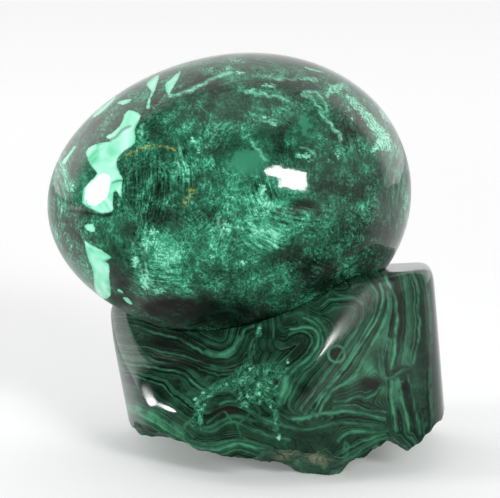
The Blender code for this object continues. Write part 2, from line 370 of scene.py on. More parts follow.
# Bands of the stand: place in the stack of layers, strength and half width of its light line, course
STAND_BANDS = (
    # sagging bands at the left, from the upper ones down
    (40.0, 0.55, 1.1, (
        (118, 318), (136, 326), (158, 334), (177, 338), (186, 343), (194, 347), (202, 352), (209, 355.5),
        (220, 357.5), (229, 356), (236, 350.5), (241, 343), (243, 334), (246, 329), (254, 326))),
    (28.0, 0.38, 0.9, (
        (116, 344), (131, 347), (146, 347), (158, 351), (175, 354.5), (188, 357.6), (198, 361.3), (207, 365),
        (216, 367.5), (224, 369), (236, 366))),
    (12.0, 0.70, 1.0, (
        (118, 362), (134, 365), (148, 366.3), (160, 369), (169, 370.3), (177, 371.3), (184, 373), (189.5, 378),
        (194, 383), (199.5, 387), (206, 391))),
    (-3.0, 0.45, 1.0, (
        (119, 373), (131.5, 375.4), (146.4, 380), (152, 382), (161.4, 384.5), (165, 388), (169, 393.6),
        (174.6, 398), (183, 403.5), (191, 411))),
    (-32.0, 0.30, 1.2, (
        (121, 400), (129, 401.5), (138.4, 403.4), (147.1, 408.3), (161.2, 414.3), (168.8, 419.7), (178.6, 425.5),
        (185.1, 431), (193, 437))),
    (-42.0, 0.75, 1.1, (
        (124, 409), (137.4, 413.7), (144.9, 417.5), (154.7, 422.4), (165.6, 429.5), (172, 433.8), (180.7, 438.1),
        (189.4, 444.7), (200.3, 449), (215.4, 450.3), (224, 447.8), (235, 444.1), (242.6, 444.7), (256.7, 447.9),
        (270, 451))),
    (-34.0, 0.42, 0.9, (
        (183, 434), (189.4, 439.2), (198, 442.5), (206.8, 443.6), (217.6, 442.5), (228.5, 439.8), (239.3, 438.1),
        (250, 440.3), (259.9, 443.6), (272, 447))),
    (-20.0, 0.35, 1.0, (
        (190, 424), (200.3, 428.4), (210, 431.6), (217.6, 428.4), (224, 424), (231.7, 421.9), (239.3, 423),
        (250, 428.4), (259.9, 431.6), (272, 436), (290, 440))),
    (-12.0, 0.30, 1.6, ((203, 427.5), (210, 427), (217.6, 422.5), (227.4, 417.8), (238, 416), (250, 419), (266, 424))),
    # arch in the middle, from its core outwards
    (100.0, 0.50, 0.9, (
        (288.8, 335.6), (294.6, 332), (301, 331), (308, 333), (312, 337), (312, 343), (308, 350.5), (301, 359),
        (294.6, 364.6), (286, 370), (282, 377), (277, 388), (272, 398))),
    (104.5, 0.85, 1.3, (
        (291, 329.5), (296, 328.4), (300.4, 327.3), (307.9, 327.3), (313.7, 329.8), (317.8, 333.9), (318.7, 339.7),
        (317, 346.3), (311.2, 354.6), (303.7, 361.3), (296.3, 367), (289, 376), (284, 388), (279, 401))),
    (109.0, 0.60, 0.9, (
        (304, 318), (312, 321.5), (317.8, 326.4), (321.2, 331.4), (322.8, 338), (322, 345.5), (317.8, 354.6),
        (311.2, 363), (303, 370), (296, 379), (290, 390), (284, 403))),
    # sweep down the right of the arch
    (134.0, 0.45, 0.9, (
        (322, 306), (328, 301), (333.3, 299), (344.9, 298.6), (353.2, 298.6), (359, 300.7), (362.3, 304.8),
        (363.9, 311), (361, 322), (352, 337), (343, 350), (333, 366), (322, 380), (311, 396), (300, 409))),
    (143.0, 0.55, 1.0, (
        (371, 284), (377.2, 294), (376.4, 304.8), (373.1, 316.4), (364.8, 332.2), (355.7, 347.1), (347.4, 360.4),
        (336.6, 373.6), (325, 389.4), (318, 398), (311.5, 404.3), (305, 415))),
    (149.0, 0.85, 1.1, (
        (380, 284), (383, 297.4), (380.5, 307.3), (378, 316.4), (373.1, 326.4), (366.4, 336.3), (359, 347.1),
        (351.5, 358.7), (340.7, 372.8), (328.3, 388.6), (320, 400), (311, 416))),
    (160.0, 0.80, 1.3, (
        (388, 292), (389, 305), (385, 320), (377.2, 336.3), (370.6, 347.9), (366.4, 357.1), (360.6, 367.8),
        (353.2, 377), (343.2, 385.3), (334.1, 389.4), (326, 400), (317, 416))),
    (166.0, 0.70, 0.9, (
        (388, 338), (385.5, 349.6), (383.8, 359.6), (383, 367.8), (384.7, 374.5), (388.8, 378.2), (393, 377),
        (398.8, 372.8), (404.6, 369.5), (408, 368.8))),
    (172.0, 1.00, 1.4, (
        (384, 272), (388, 282.4), (392.1, 290.7), (395.5, 299.9), (396.7, 311.5), (397.1, 323.1), (395.5, 336.3),
        (395, 348.8), (393, 361.2), (391.3, 368))),
    (181.0, 0.35, 0.9, ((399, 264), (405, 285), (407, 310), (406, 340), (402, 364))),
    (193.0, 0.65, 1.0, (
        (409, 264), (417, 285), (418.7, 299), (417.8, 309.8), (419.5, 319.8), (418.7, 336.3), (416, 352), (413, 364))),
    (206.0, 0.30, 1.1, ((419, 264), (428, 288), (431, 320), (432, 350), (430, 380), (432, 405), (433, 422))),
    (216.0, 0.25, 1.1, ((427, 267), (436, 300), (440, 340), (442, 380), (443, 410))),
    # columns under the fold at the right
    (181.0, 0.90, 1.2, ((391.7, 381), (391.5, 390), (391.7, 400), (394, 415), (396, 431))),
    (189.0, 0.85, 1.2, ((398, 379), (400.5, 390), (402.6, 402), (407, 418.4), (408, 432))),
    (197.0, 0.45, 1.0, ((407, 374), (412, 392), (416, 412), (420, 434))),
    # bands that lie along the lower edge at the right
    (104.0, 0.50, 1.0, (
        (334, 402), (345, 401), (353.8, 397.8), (360.3, 396.7), (364.6, 399), (370, 397.2), (375.4, 393.4), (380, 388))),
    (96.0, 0.45, 0.9, (
        (332, 408), (342, 405), (354.8, 404.3), (360.3, 406.5), (365.7, 409.7), (375.4, 410.8), (387, 412))),
    (88.0, 0.70, 1.5, (
        (293, 419), (303.9, 418.5), (314, 415), (326.6, 413), (336.4, 412.4), (347.2, 411.9), (358, 413.5),
        (372, 416), (384, 419))),
    (78.0, 0.35, 1.2, ((262, 419), (280, 424), (300, 430), (320, 427), (340, 423), (360, 424), (382, 427))),
    (66.0, 0.70, 1.6, ((338, 440), (345, 434), (352, 431.5), (362, 431.5), (373, 432), (386, 431))),
    (58.0, 0.55, 1.0, ((343, 452), (351, 447), (361, 442), (372, 438), (384, 434))),
    (48.0, 0.50, 1.0, ((344, 461), (353, 456), (363, 449), (374, 442), (386, 438))),
)
# More light lines of the stand: strength, half width, course
STAND_LINES = (
    (0.75, 2.2, ((207, 352.5), (215, 354.6), (224, 354.8), (230, 351), (236, 345), (240, 338))),
    (0.60, 4.2, ((122, 406), (140, 409.5), (155, 416.5), (170, 425.5), (182, 433))),
    (0.85, 3.0, ((287, 378), (284.5, 386), (281.5, 394), (279, 402))),
    (0.45, 1.0, ((326, 297), (330.8, 290.5), (338, 295), (346.5, 296.1), (355.7, 297.4), (361.5, 299.9), (365, 305))),
    (0.40, 0.9, ((256.5, 336), (251.5, 342.2), (249, 350.5), (249, 357.1), (250.7, 362))),
    (0.45, 0.9, ((254, 344), (253.5, 351), (255.7, 357.5))),
    (0.30, 0.9, ((272, 318), (274, 327), (273.5, 337))),
    (0.25, 0.9, ((307, 303), (308, 313), (309.5, 321.5))),
    (0.55, 0.9, ((219.8, 404), (227.4, 401.5), (237.1, 400.7), (242.6, 404.5), (248, 409.4), (251, 411.5))),
    (0.50, 0.9, ((251, 411), (246, 417.5), (241.5, 420.8), (237.1, 425.1), (239, 431), (240, 437))),
    (0.55, 1.0, ((251, 411), (256, 414), (263, 419.5), (272, 422))),
    (0.35, 0.9, ((206.8, 423), (215, 417), (223, 411), (227.4, 414.3), (231.7, 421))),
    (0.50, 1.0, ((193, 419), (185, 425.1), (182.9, 431.6), (182.9, 438.5))),
    (0.70, 1.4, ((397, 382), (398.5, 392), (401, 401))),
    (0.45, 1.6, ((391, 340), (389.5, 352), (389, 362))),
    (0.40, 0.9, ((377.5, 349), (379, 360), (380, 370), (382.2, 379.5))),
    (0.40, 1.0, ((336.6, 396.5), (341, 394.5), (346.5, 392.7))),
    (0.70, 1.1, ((308, 419), (311, 417), (313, 415))),
    (0.45, 1.0, ((344, 449), (345, 443), (349, 446), (346, 456))),
)
# The eye in the banding: middle, radius of its dark core and of its light ring
EYE_MIDDLE, EYE_CORE, EYE_RING = (336.5, 354.0), 5.0, 8.3
# Broken vein of the stand, with pale grains: strength, half width, course
STAND_BRECCIA = (
    (1.0, 6.0, ((198, 424), (198, 412), (203, 400), (212, 391), (224, 384), (236, 377), (247, 368))),
    (1.0, 9.0, ((236, 384), (250, 376), (264, 372), (277, 372))),
    (1.0, 11.0, ((246, 398), (258, 394), (268, 389))),
    (0.8, 5.0, ((268, 400), (276, 412), (276, 428))),
    (0.8, 3.5, ((260, 326), (259, 334))),
)
# Pale mint grains of the stand: x, y, half width, half height
STAND_MINT_SPOTS = (
    (195.5, 399, 2.6, 1.8),
    (203, 392.5, 1.8, 1.4),
    (208, 396, 2.0, 1.2),
    (205, 404.5, 1.6, 1.2),
    (201.5, 409, 1.6, 1.6),
    (259.5, 328, 1.6, 2.0),
    (258.5, 333, 1.6, 1.4),
    (287.5, 362, 1.8, 2.6),
    (250, 369, 1.4, 2.4),
    (258.5, 385, 2.0, 5.0),
    (259.5, 395, 1.6, 2.4),
    (247.5, 396, 1.4, 1.8),
    (267.5, 390.5, 1.6, 1.4),
    (279, 437, 2.6, 3.6),
)
# Large lighter and darker places of the stand: x, y, half width, half height, turn in degrees, amount. Most are the
# stone's own tone; the dark ones just under the egg are painted shade cast by the egg
STAND_SHADES = (
    (215, 346, 22, 6, 10, 0.10),
    # painted shade: this place and the next darken the stand's front just under the egg's left half
    (188, 360, 42, 10, 14, -0.80),
    (170, 342, 32, 10, 10, -0.70),
    (170, 385, 30, 10, 20, -0.30),
    (228, 410, 16, 7, 0, -0.55),
    (153, 414, 34, 6, 27, 0.42),
    (225, 446, 46, 7, 0, 0.16),
    # painted shade: a dark strip along the stand just under the egg, where egg and stand meet
    (240, 330, 60, 6, -8, -0.25),
    (299, 316, 7, 9, 0, 0.35),
    (298, 350, 13, 12, -35, -0.40),
    (262, 385, 16, 14, -20, 0.30),
    (286, 388, 6, 13, 14, 0.45),
    (327, 368, 5, 6, 20, 0.40),
    (345, 318, 14, 30, 38, 0.18),
    (355, 350, 10, 40, 38, 0.30),
    (372, 372, 6, 8, 15, 0.55),
    (371, 384, 9, 5, -8, -0.85),
    (391, 352, 4, 20, 0, 0.45),
    (403, 320, 5, 34, 0, -0.60),
    (408, 356, 6, 11, 12, 0.60),
    (413, 325, 6, 22, 0, 0.30),
    (417, 376, 6, 14, 0, 0.35),
    (407, 387, 4, 9, 0, -0.45),
    (397, 392, 7, 12, 0, 0.25),
    (384, 390, 4, 6, 0, 0.45),
    (430, 380, 10, 60, 0, -0.15),
    (350, 417, 34, 5, 0, -0.25),
    (311, 398, 6, 18, 38, -0.35),
    (272, 422, 9, 4, 0, 0.40),
    (360, 433, 16, 4, -4, 0.40),
    (300, 445, 40, 10, 0, 0.05),
    (230, 325, 40, 4, 8, 0.10),
    (385, 300, 4, 20, 0, -0.20),
)
# Places of the stand whose bands fade into mottled green: x, y, half width, half height, turn, amount
STAND_CALM = (
    (316, 440, 34, 16, 0, 1.0),
    (275, 425, 16, 10, 0, 0.7),
    (350, 425, 24, 5, 0, 0.5),
    (258, 385, 22, 18, 0, 0.9),
    (209, 400, 12, 16, 30, 0.8),
    (300, 318, 12, 10, 0, 0.7),
    (268, 340, 12, 22, 0, 0.6),
    (335, 390, 18, 6, -20, 0.5),
    (372, 384, 10, 7, 0, 0.9),
    (412, 405, 14, 26, 0, 0.6),
    (432, 350, 10, 80, 0, 0.5),
    (376, 358, 9, 16, 20, 0.6),
    (165, 341, 22, 7, 10, 0.8),
    (170, 400, 20, 8, 20, 0.4),
    (419, 361, 10, 9, 0, 1.0),
    (402, 372, 20, 7, -10, 1.2),
)
# Places of the stand and of the egg with a duller polish
STAND_DULL = (
    (356, 306, 38, 16, 52, 1.5),
    (385, 290, 16, 12, 0, 1.0),
    (147, 391, 7, 10, 0, 0.8),
)
EGG_DULL = (
    (120, 294, 18, 14, 30, 2.5),
    (168, 312, 40, 14, 4, 2.5),
)
# Reddish brown places of the stand: x, y, half width, half height, turn in degrees, amount
STAND_BROWNS = (
    (226, 411, 15, 6, 0, 0.8),
    (232, 368, 14, 7, -30, 0.5),
    (371, 383, 8, 5, -8, 0.9),
    (336.5, 354, 5, 5, 0, 0.8),
    (300, 345, 9, 9, 0, 0.35),
    (275, 378, 4, 6, 0, 0.6),
    (196, 362, 26, 4, 12, 0.5),
    (400, 310, 4, 30, 0, 0.4),
    (397, 423, 6, 4, 0, 0.7),
    (135, 419, 4, 3, 0, 0.8),
)
# Tan mineral on the broken stone: x, y, half width, half height, turn in degrees, amount
STAND_TANS = (
    (318, 459, 12, 5, -8, 1.0),
    (285, 455, 14, 4, 10, 0.7),
    (403, 437, 3, 3, 0, 0.7),
    (390, 441, 5, 2, 0, 0.4),
)


def from_display(red, green, blue):
    """A colour given in 0 to 255 as the eye sees it, as the linear values that shaders take."""
    linear = []
    for value in (red, green, blue):
        share = value / 255.0
        linear.append(share / 12.92 if share <= 0.04045 else ((share + 0.055) / 1.055) ** 2.4)
    return (*linear, 1.0)


# Places on the front view

def picture_place(points):
    """Where points appear on the front view, in its pixels."""
    from_eye = points - VIEW_EYE
    scale = VIEW_DISTANCE / MM_TO_A_PIXEL / (from_eye @ VIEW_FORWARD)
    across = PICTURE_WIDTH / 2 + scale * from_eye[:, 0]
    down = PICTURE_HEIGHT / 2 - scale * (from_eye @ VIEW_UPWARD)
    return np.stack([across, down], axis=1)


def smooth_path(course, closed=False):
    """A smooth line through the course's points, as short straight steps."""
    points = np.array(course, dtype=float)
    if closed:
        guides = np.vstack([points[-1:], points, points[:2]])
    else:
        guides = np.vstack([2.0 * points[:1] - points[1:2], points, 2.0 * points[-1:] - points[-2:-1]])
    path = []
    for before, start, end, after in zip(guides, guides[1:], guides[2:], guides[3:]):
        steps = max(1, int(np.hypot(*(end - start)) / PATH_STEP) + 1)
        for share in np.arange(steps) / steps:
            bend = 2 * before - 5 * start + 4 * end - after
            twist = -before + 3 * start - 3 * end + after
            path.append(0.5 * (2 * start + (end - before) * share + bend * share**2 + twist * share**3))
    path.append(path[0] if closed else points[-1])
    return np.array(path)


def beside_path(places, path):
    """How far each place is from a path, and how far to the path's left, with the path's ends run on."""
    nearest = np.full(len(places), 1e9)
    leftward = np.zeros(len(places))
    last = len(path) - 2
    for number, (start, end) in enumerate(zip(path[:-1], path[1:])):
        run = end - start
        length = np.hypot(*run)
        if length < TINY:
            continue
        ahead = run / length
        offset = places - start
        along = offset @ ahead
        across = offset[:, 0] * ahead[1] - offset[:, 1] * ahead[0]
        distance = np.hypot(along - np.clip(along, 0.0, length), across)
        run_on = ((number == 0) & (along < 0.0)) | ((number == last) & (along > length))
        nearer = distance < nearest
        nearest = np.where(nearer, distance, nearest)
        leftward = np.where(nearer, np.where(run_on, across, np.sign(across) * distance), leftward)
    return nearest, leftward


def inside_outline(places, path):
    """Whether each place lies inside a closed path."""
    inside = np.zeros(len(places), dtype=bool)
    x, y = places[:, 0], places[:, 1]
    for (start_x, start_y), (end_x, end_y) in zip(path[:-1], path[1:]):
        if start_y == end_y:
            continue
        crosses = (y < start_y) != (y < end_y)
        inside ^= crosses & (x < start_x + (y - start_y) * (end_x - start_x) / (end_y - start_y))
    return inside


def near_path(places, path, reach):
    """Which places are within reach of the box around a path."""
    low, high = path.min(axis=0) - reach, path.max(axis=0) + reach
    return np.flatnonzero(((places > low) & (places < high)).all(axis=1))


def outline_depth(places, outlines):
    """How deep each place lies inside the nearest outline, and below 0 how far outside."""
    depth = np.full(len(places), -FAR_OUTSIDE)
    for outline in outlines:
        path = smooth_path(outline, closed=True)
        near = near_path(places, path, FAR_OUTSIDE)
        distance, _ = beside_path(places[near], path)
        signed = np.where(inside_outline(places[near], path), distance, -distance)
        depth[near] = np.maximum(depth[near], signed)
    return depth


def spot_depth(places, spots):
    """The same for small round patches."""
    depth = np.full(len(places), -FAR_OUTSIDE)
    for x, y, half_width, half_height in spots:
        from_middle = np.hypot((places[:, 0] - x) / half_width, (places[:, 1] - y) / half_height)
        depth = np.maximum(depth, (1.0 - from_middle) * min(half_width, half_height))
    return depth


def line_strength(places, lines):
    """How strongly each place shows one of the lines."""
    strength = np.zeros(len(places))
    for amount, half_width, course in lines:
        path = smooth_path(course)
        near = near_path(places, path, 3.0 * half_width)
        distance, _ = beside_path(places[near], path)
        strength[near] = np.maximum(strength[near], amount * np.exp(-((distance / half_width) ** 2)))
    return strength


def shade_amount(places, shades):
    """Sum of soft lighter and darker places."""
    amount = np.zeros(len(places))
    for x, y, half_width, half_height, turn, change in shades:
        c, s = cos(radians(turn)), sin(radians(turn))
        across, down = places[:, 0] - x, places[:, 1] - y
        along, aside = (c * across - s * down) / half_width, (s * across + c * down) / half_height
        amount += change * np.exp(-((along**2 + aside**2) ** 1.5))
    return amount


def combed_places(places, combs):
    """How strongly each place shows fibres side by side, and its place across and along them."""
    strongest = np.zeros(len(places))
    across, along = np.zeros(len(places)), np.zeros(len(places))
    for number, (x, y, half_width, half_height, lean, bend, amount) in enumerate(combs):
        c, s = cos(radians(lean)), sin(radians(lean))
        aside, down = places[:, 0] - x, places[:, 1] - y
        strength = amount * np.exp(-(((aside / half_width) ** 2 + (down / half_height) ** 2) ** 1.5))
        run = s * aside + c * down
        stronger = strength > strongest
        strongest = np.where(stronger, strength, strongest)
        across = np.where(stronger, c * aside - s * down - bend * run**2 + 90.0 * number, across)
        along = np.where(stronger, run, along)
    return strongest, across, along


def band_place(places):
    """Place of each point in the stack of layers, which follows the courses of the bands."""
    total, weight = FAR_SHARE * places[:, 1], np.full(len(places), FAR_SHARE)
    for value, _, _, course in STAND_BANDS:
        path = smooth_path(course)
        near = near_path(places, path, BAND_REACH)
        distance, leftward = beside_path(places[near], path)
        share = 1.0 / (distance + 1.0) ** 3 * fade(-distance, -BAND_REACH, -0.5 * BAND_REACH)
        total[near] += share * (value + leftward)
        weight[near] += share
    return total / weight


def fade(value, low, high):
    """A smooth rise from 0 at low to 1 at high."""
    share = np.clip((value - low) / (high - low), 0.0, 1.0)
    return share * share * (3.0 - 2.0 * share)


def wander(points, size, reach, seed):
    """A smooth random shift of points, by up to the reach, with swells of the size."""
    shift = np.empty((len(points), 3))
    offset = Vector((seed * 7.3, seed * 3.1, seed * 5.7))
    for row, point in enumerate(points):
        shift[row] = noise.noise_vector(Vector(point / size) + offset)
    return points + reach * shift


def patchy(points, patches):
    """How deep each point lies inside a random patch, and below 0 how far outside."""
    turns, level = np.array(patches[:3]), patches[3]
    leaning = wander(points, 8.0, 6.0, 4) + 0.35 * points[:, [2, 0, 1]]
    height = np.array([noise.noise(Vector(place)) for place in leaning * turns])
    return BACK_STEEPNESS * (height - level)


def grain_of(x, y, layers, seed):
    """Fine random height of broken stone at places in plan."""
    height = np.zeros(len(x))
    for row, (place_x, place_y) in enumerate(zip(x, y)):
        for rise, turns in layers:
            height[row] += rise * noise.noise(Vector((place_x * turns, place_y * turns, seed)))
    return height


def set_values(mesh, name, values):
    """Stores one value for each vertex under a name that the material reads."""
    layer = mesh.attributes.new(name, "FLOAT", "POINT")
    layer.data.foreach_set("value", np.asarray(values, dtype=np.float32))


# The egg's mesh

def crowded_turn(turn):
    """A turn about the stone with more of its steps on the front, where turn 0 looks."""
    return turn - FRONT_CROWDING * np.sin(turn)


def closed_mesh(name, points):
    """A closed mesh of columns and rings of points, whose first and last rings are each one point."""
    around, rings = points.shape[0], points.shape[1] - 1
    corners = np.concatenate([points[:1, 0], points[:, 1:-1].reshape(-1, 3), points[:1, -1]])
    last = len(corners) - 1
    faces = []
    for column in range(around):
        here, there = 1 + column * (rings - 1), 1 + (column + 1) % around * (rings - 1)
        faces.append((0, here, there))
        faces.extend((here + ring, here + ring + 1, there + ring + 1, there + ring) for ring in range(rings - 2))
        faces.append((here + rings - 2, last, there + rings - 2))
    mesh = bpy.data.meshes.new(name)
    mesh.from_pydata(corners * MM, [], faces)
    return mesh, corners


def by_vertex(values):
    """Values by column and ring, in the order of a closed mesh's vertices."""
    return np.concatenate([values[:1, 0], values[:, 1:-1].ravel(), values[:1, -1]])


def placed_piece(name, mesh, node_name):
    """Has a piece with this mesh stand for its node of the frame."""
    mesh.shade_smooth()
    piece = bpy.data.objects.new(name, mesh)
    bpy.context.scene.collection.objects.link(piece)
    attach(piece, "root")
    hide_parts(node_name)
    return piece


def egg_fatness(along_share, allowance):
    """Radius of the egg at a share of its half length from its middle."""
    width = (EGG_HALF_WIDTH + allowance) * (1.0 + EGG_BLUNTNESS * along_share)
    return width * np.sqrt(np.maximum(1.0 - along_share**2, 0.0))


def inside_egg(points, allowance):
    """Whether points are inside the egg grown by an allowance."""
    from_centre = points - EGG_CENTRE
    along = from_centre @ EGG_AXIS
    aside = np.linalg.norm(from_centre - along[:, None] * EGG_AXIS, axis=1)
    return aside < egg_fatness(np.clip(along / (EGG_HALF_LENGTH + allowance), -1.0, 1.0), allowance)


def facing_front(normals):
    """How far surface with these normals belongs to the front view: 1 in front, 0 behind."""
    return fade(-(normals @ VIEW_FORWARD), -0.55, -0.10)


def make_egg():
    turn = crowded_turn(2.0 * pi * np.arange(EGG_AROUND) / EGG_AROUND)[:, None, None]
    along = np.cos(pi * np.arange(EGG_STATIONS + 1) / EGG_STATIONS)[:, None]
    outward = np.cos(turn) * np.array((0.0, -1.0, 0.0)) + np.sin(turn) * EGG_UPWARD
    points = EGG_CENTRE + EGG_HALF_LENGTH * along * EGG_AXIS + egg_fatness(along, 0.0) * outward
    mesh, corners = closed_mesh("polished_egg", points)
    normals = corners - EGG_CENTRE
    normals /= np.linalg.norm(normals, axis=1)[:, None]

    places = picture_place(corners)
    stray_places = picture_place(wander(corners, 1.8, 0.7, 5))
    in_front = facing_front(normals)
    mint = outline_depth(places, EGG_MINT_OUTLINES)
    grainy = np.maximum(outline_depth(places, EGG_GRAINY_OUTLINES), spot_depth(places, EGG_MINT_SPOTS))
    grainy = np.minimum(grainy, GRAINY_DEPTH)
    combed, across, along = combed_places(places, EGG_COMBS)
    set_values(mesh, "mint", in_front * mint + (1.0 - in_front) * patchy(corners, BACK_RIBBONS))
    set_values(mesh, "grainy_mint", in_front * grainy + (1.0 - in_front) * patchy(corners, BACK_GRAINS))
    leaf = outline_depth(stray_places, EGG_LEAF_OUTLINES)
    set_values(mesh, "leaf", in_front * leaf - (1.0 - in_front) * FAR_OUTSIDE)
    set_values(mesh, "dull", in_front * np.clip(shade_amount(places, EGG_DULL), 0.0, 2.0))
    set_values(mesh, "combed", in_front * combed)
    set_values(mesh, "across_fibres", across)
    set_values(mesh, "along_fibres", along)
    set_values(mesh, "line", in_front * line_strength(stray_places, EGG_LINES))
    set_values(mesh, "gold", in_front * line_strength(places, EGG_GOLD))
    set_values(mesh, "crack", in_front * line_strength(places, EGG_CRACKS))
    # shade holds the stone's own tone and painted shade low on the egg beside the stand
    set_values(mesh, "shade", in_front * shade_amount(places, EGG_SHADES))
    set_values(mesh, "smooth", in_front * np.clip(shade_amount(places, EGG_SMOOTH), 0.0, 1.0))
    piece = placed_piece("polished_egg", mesh, "egg")
    piece.data.materials.append(egg_malachite())
    return piece


# The stand's mesh

def polished_distance(points):
    """How far points lie outside the polished faces, blended near equal ones to round the edges."""
    distances = []
    for direction, place in POLISHED_FACES:
        outward = np.array(direction) / np.linalg.norm(direction)
        distances.append((points - np.array(place)) @ outward)
    furthest = np.max(distances, axis=0)
    blend = np.exp((np.array(distances) - furthest) / EDGE_ROUNDING).sum(axis=0)
    distance = furthest + EDGE_ROUNDING * np.log(blend)
    from_swell = points - np.array(SWELL_PLACE)
    along = from_swell @ np.array(SWELL_COURSE)
    aside = np.linalg.norm(from_swell - along[:, None] * np.array(SWELL_COURSE), axis=1)
    return distance - SWELL_HEIGHT * np.exp(-0.5 * ((along / SWELL_SPREAD_ALONG) ** 2 + (aside / SWELL_SPREAD_UP) ** 2))


def polished_points(around, down):
    """Points of the polished surface, seen from the stand's heart around and down from upright."""
    directions = np.stack([np.sin(down) * np.cos(around), np.sin(down) * np.sin(around), np.cos(down)], axis=1)
    low, high = np.zeros(len(around)), np.full(len(around), STAND_REACH)
    for _ in range(HALVINGS):
        middle = 0.5 * (low + high)
        beyond = polished_distance(STAND_HEART + directions * middle[:, None]) > 0.0
        high = np.where(beyond, middle, high)
        low = np.where(beyond, low, middle)
    return STAND_HEART + directions * low[:, None]


def bump(x, y, place):
    """A rounded rise of the underside, or with a negative height a lump that hangs down."""
    middle_x, middle_y, height, spread_x, spread_y = place
    return height * np.exp(-0.5 * (((x - middle_x) / spread_x) ** 2 + ((y - middle_y) / spread_y) ** 2))


def from_patch(x, y):
    """Distance from the middle of the ground patch, which is 1 on the patch's outline."""
    across, deep = (x - PATCH_CENTRE[0]) / PATCH_RADII[0], (y - PATCH_CENTRE[1]) / PATCH_RADII[1]
    angle = np.arctan2(deep, across)
    wavy = 1.0 + sum(share * np.sin(count * angle + start) for count, start, share in PATCH_WAVES)
    return np.hypot(across, deep) / wavy


def underside_height(points):
    """Height of the broken underside at each point's place in plan."""
    x, y = points[:, 0], points[:, 1]
    angles, heights = zip(*LOWER_EDGE)
    edge = np.interp(np.degrees(np.arctan2(y, x)), angles, heights, period=360.0)
    powers = np.abs(x / EDGE_RADII[0]) ** EDGE_SQUARENESS + np.abs(y / EDGE_RADII[1]) ** EDGE_SQUARENESS
    inside_edge = np.maximum(1.0 - powers ** (1.0 / EDGE_SQUARENESS), 0.0)
    outside_patch = np.maximum(from_patch(x, y) - 1.0, 0.0)
    outwards = outside_patch / (outside_patch + UNDERSIDE_FALL * inside_edge + TINY)
    height = edge * outwards**UNDERSIDE_FULLNESS
    for place in UNDERSIDE_LUMPS:
        height += bump(x, y, place)
    for rise, turns_x, turns_y, start in SWELLS:
        height += rise * np.sin(turns_x * x + turns_y * y + start)
    band = height + LEDGE_LEAN[0] * x + LEDGE_LEAN[1] * y
    height -= LEDGE_SHARPNESS * LEDGE_STEP / (2.0 * pi) * np.sin(2.0 * pi * band / LEDGE_STEP)
    height += bump(x, y, FRONT_FOOT)
    height += grain_of(x, y, GRAIN + (CHIPS,), 3.7)
    return np.where(outside_patch > TINY, np.maximum(height, 0.0), 0.0)


def rim_angle(around):
    """The angle down from upright at which the egg's hollow breaks through the polished surface."""
    low, high = np.zeros(len(around)), np.full(len(around), 0.5 * pi)
    for _ in range(HALVINGS):
        middle = 0.5 * (low + high)
        inside = inside_egg(polished_points(around, middle), TOUCH_GAP)
        low = np.where(inside, middle, low)
        high = np.where(inside, high, middle)
    return 0.5 * (low + high)


def lower_edge_angle(around):
    """The angle down from upright at which the polished side meets the broken underside."""
    low, high = np.full(len(around), 0.30 * pi), np.full(len(around), 0.80 * pi)
    for _ in range(HALVINGS):
        middle = 0.5 * (low + high)
        points = polished_points(around, middle)
        above = points[:, 2] > underside_height(points)
        low = np.where(above, middle, low)
        high = np.where(above, high, middle)
    return 0.5 * (low + high)


def even_angles(around, start, end):
    """Angles down each column, from the start to the end, that space the side's rings evenly."""
    samples = 48
    shares = np.linspace(0.0, 1.0, samples)
    down = start[:, None] + (end - start)[:, None] * shares
    points = polished_points(np.repeat(around, samples), down.ravel()).reshape(len(around), samples, 3)
    steps = np.linalg.norm(np.diff(points, axis=1), axis=2)
    run = np.concatenate([np.zeros((len(around), 1)), np.cumsum(steps, axis=1)], axis=1)
    angles = np.empty((len(around), SIDE_RINGS + 1))
    for column in range(len(around)):
        wanted = np.linspace(0.0, run[column, -1], SIDE_RINGS + 1)
        angles[column] = np.interp(wanted, run[column], down[column])
    return angles, run[:, -1]


def seat_points(rim, share):
    """Points of the hollow, from its middle above the stand's heart out to its rim."""
    points = np.array(rim)
    points[:, :2] = rim[:, :2] * share
    low, high = np.full(len(rim), STAND_HEART[2]), np.full(len(rim), EGG_CENTRE[2])
    for _ in range(HALVINGS):
        points[:, 2] = 0.5 * (low + high)
        inside = inside_egg(points, TOUCH_GAP)
        high = np.where(inside, points[:, 2], high)
        low = np.where(inside, low, points[:, 2])
    return points


def stand_points():
    """The stand's vertices by column and ring, and how far each lies below the polish's lower edge."""
    turn = 2.0 * pi * np.arange(STAND_AROUND) / STAND_AROUND
    around = crowded_turn(turn) - 0.5 * pi
    start, end = rim_angle(around), lower_edge_angle(around)
    angles, side_run = even_angles(around, start, end)
    rings = SEAT_RINGS + SIDE_RINGS + BROKEN_RINGS + PATCH_RINGS
    points = np.empty((STAND_AROUND, rings + 1, 3))
    below = np.full((STAND_AROUND, rings + 1), -60.0)
    rim = polished_points(around, start)
    for ring in range(SEAT_RINGS):
        points[:, ring] = seat_points(rim, (ring / SEAT_RINGS) ** 0.7)
    side = polished_points(np.repeat(around, SIDE_RINGS + 1), angles.ravel())
    points[:, SEAT_RINGS : SEAT_RINGS + SIDE_RINGS + 1] = side.reshape(STAND_AROUND, SIDE_RINGS + 1, 3)
    for ring in range(SIDE_RINGS + 1):
        below[:, SEAT_RINGS + ring] = -side_run * (1.0 - ring / SIDE_RINGS)
    edge = points[:, SEAT_RINGS + SIDE_RINGS]
    middle = np.array((*PATCH_CENTRE, 0.0))
    outline = middle + (edge - middle) / from_patch(edge[:, 0], edge[:, 1])[:, None]
    for ring in range(1, BROKEN_RINGS + PATCH_RINGS + 1):
        if ring <= BROKEN_RINGS:
            row = edge + (outline - edge) * (ring / BROKEN_RINGS)
        else:
            row = outline + (middle - outline) * ((ring - BROKEN_RINGS) / PATCH_RINGS)
        row[:, 2] = underside_height(row)
        points[:, SEAT_RINGS + SIDE_RINGS + ring] = row
        below[:, SEAT_RINGS + SIDE_RINGS + ring] = np.linalg.norm(row - edge, axis=1)
    return points, below


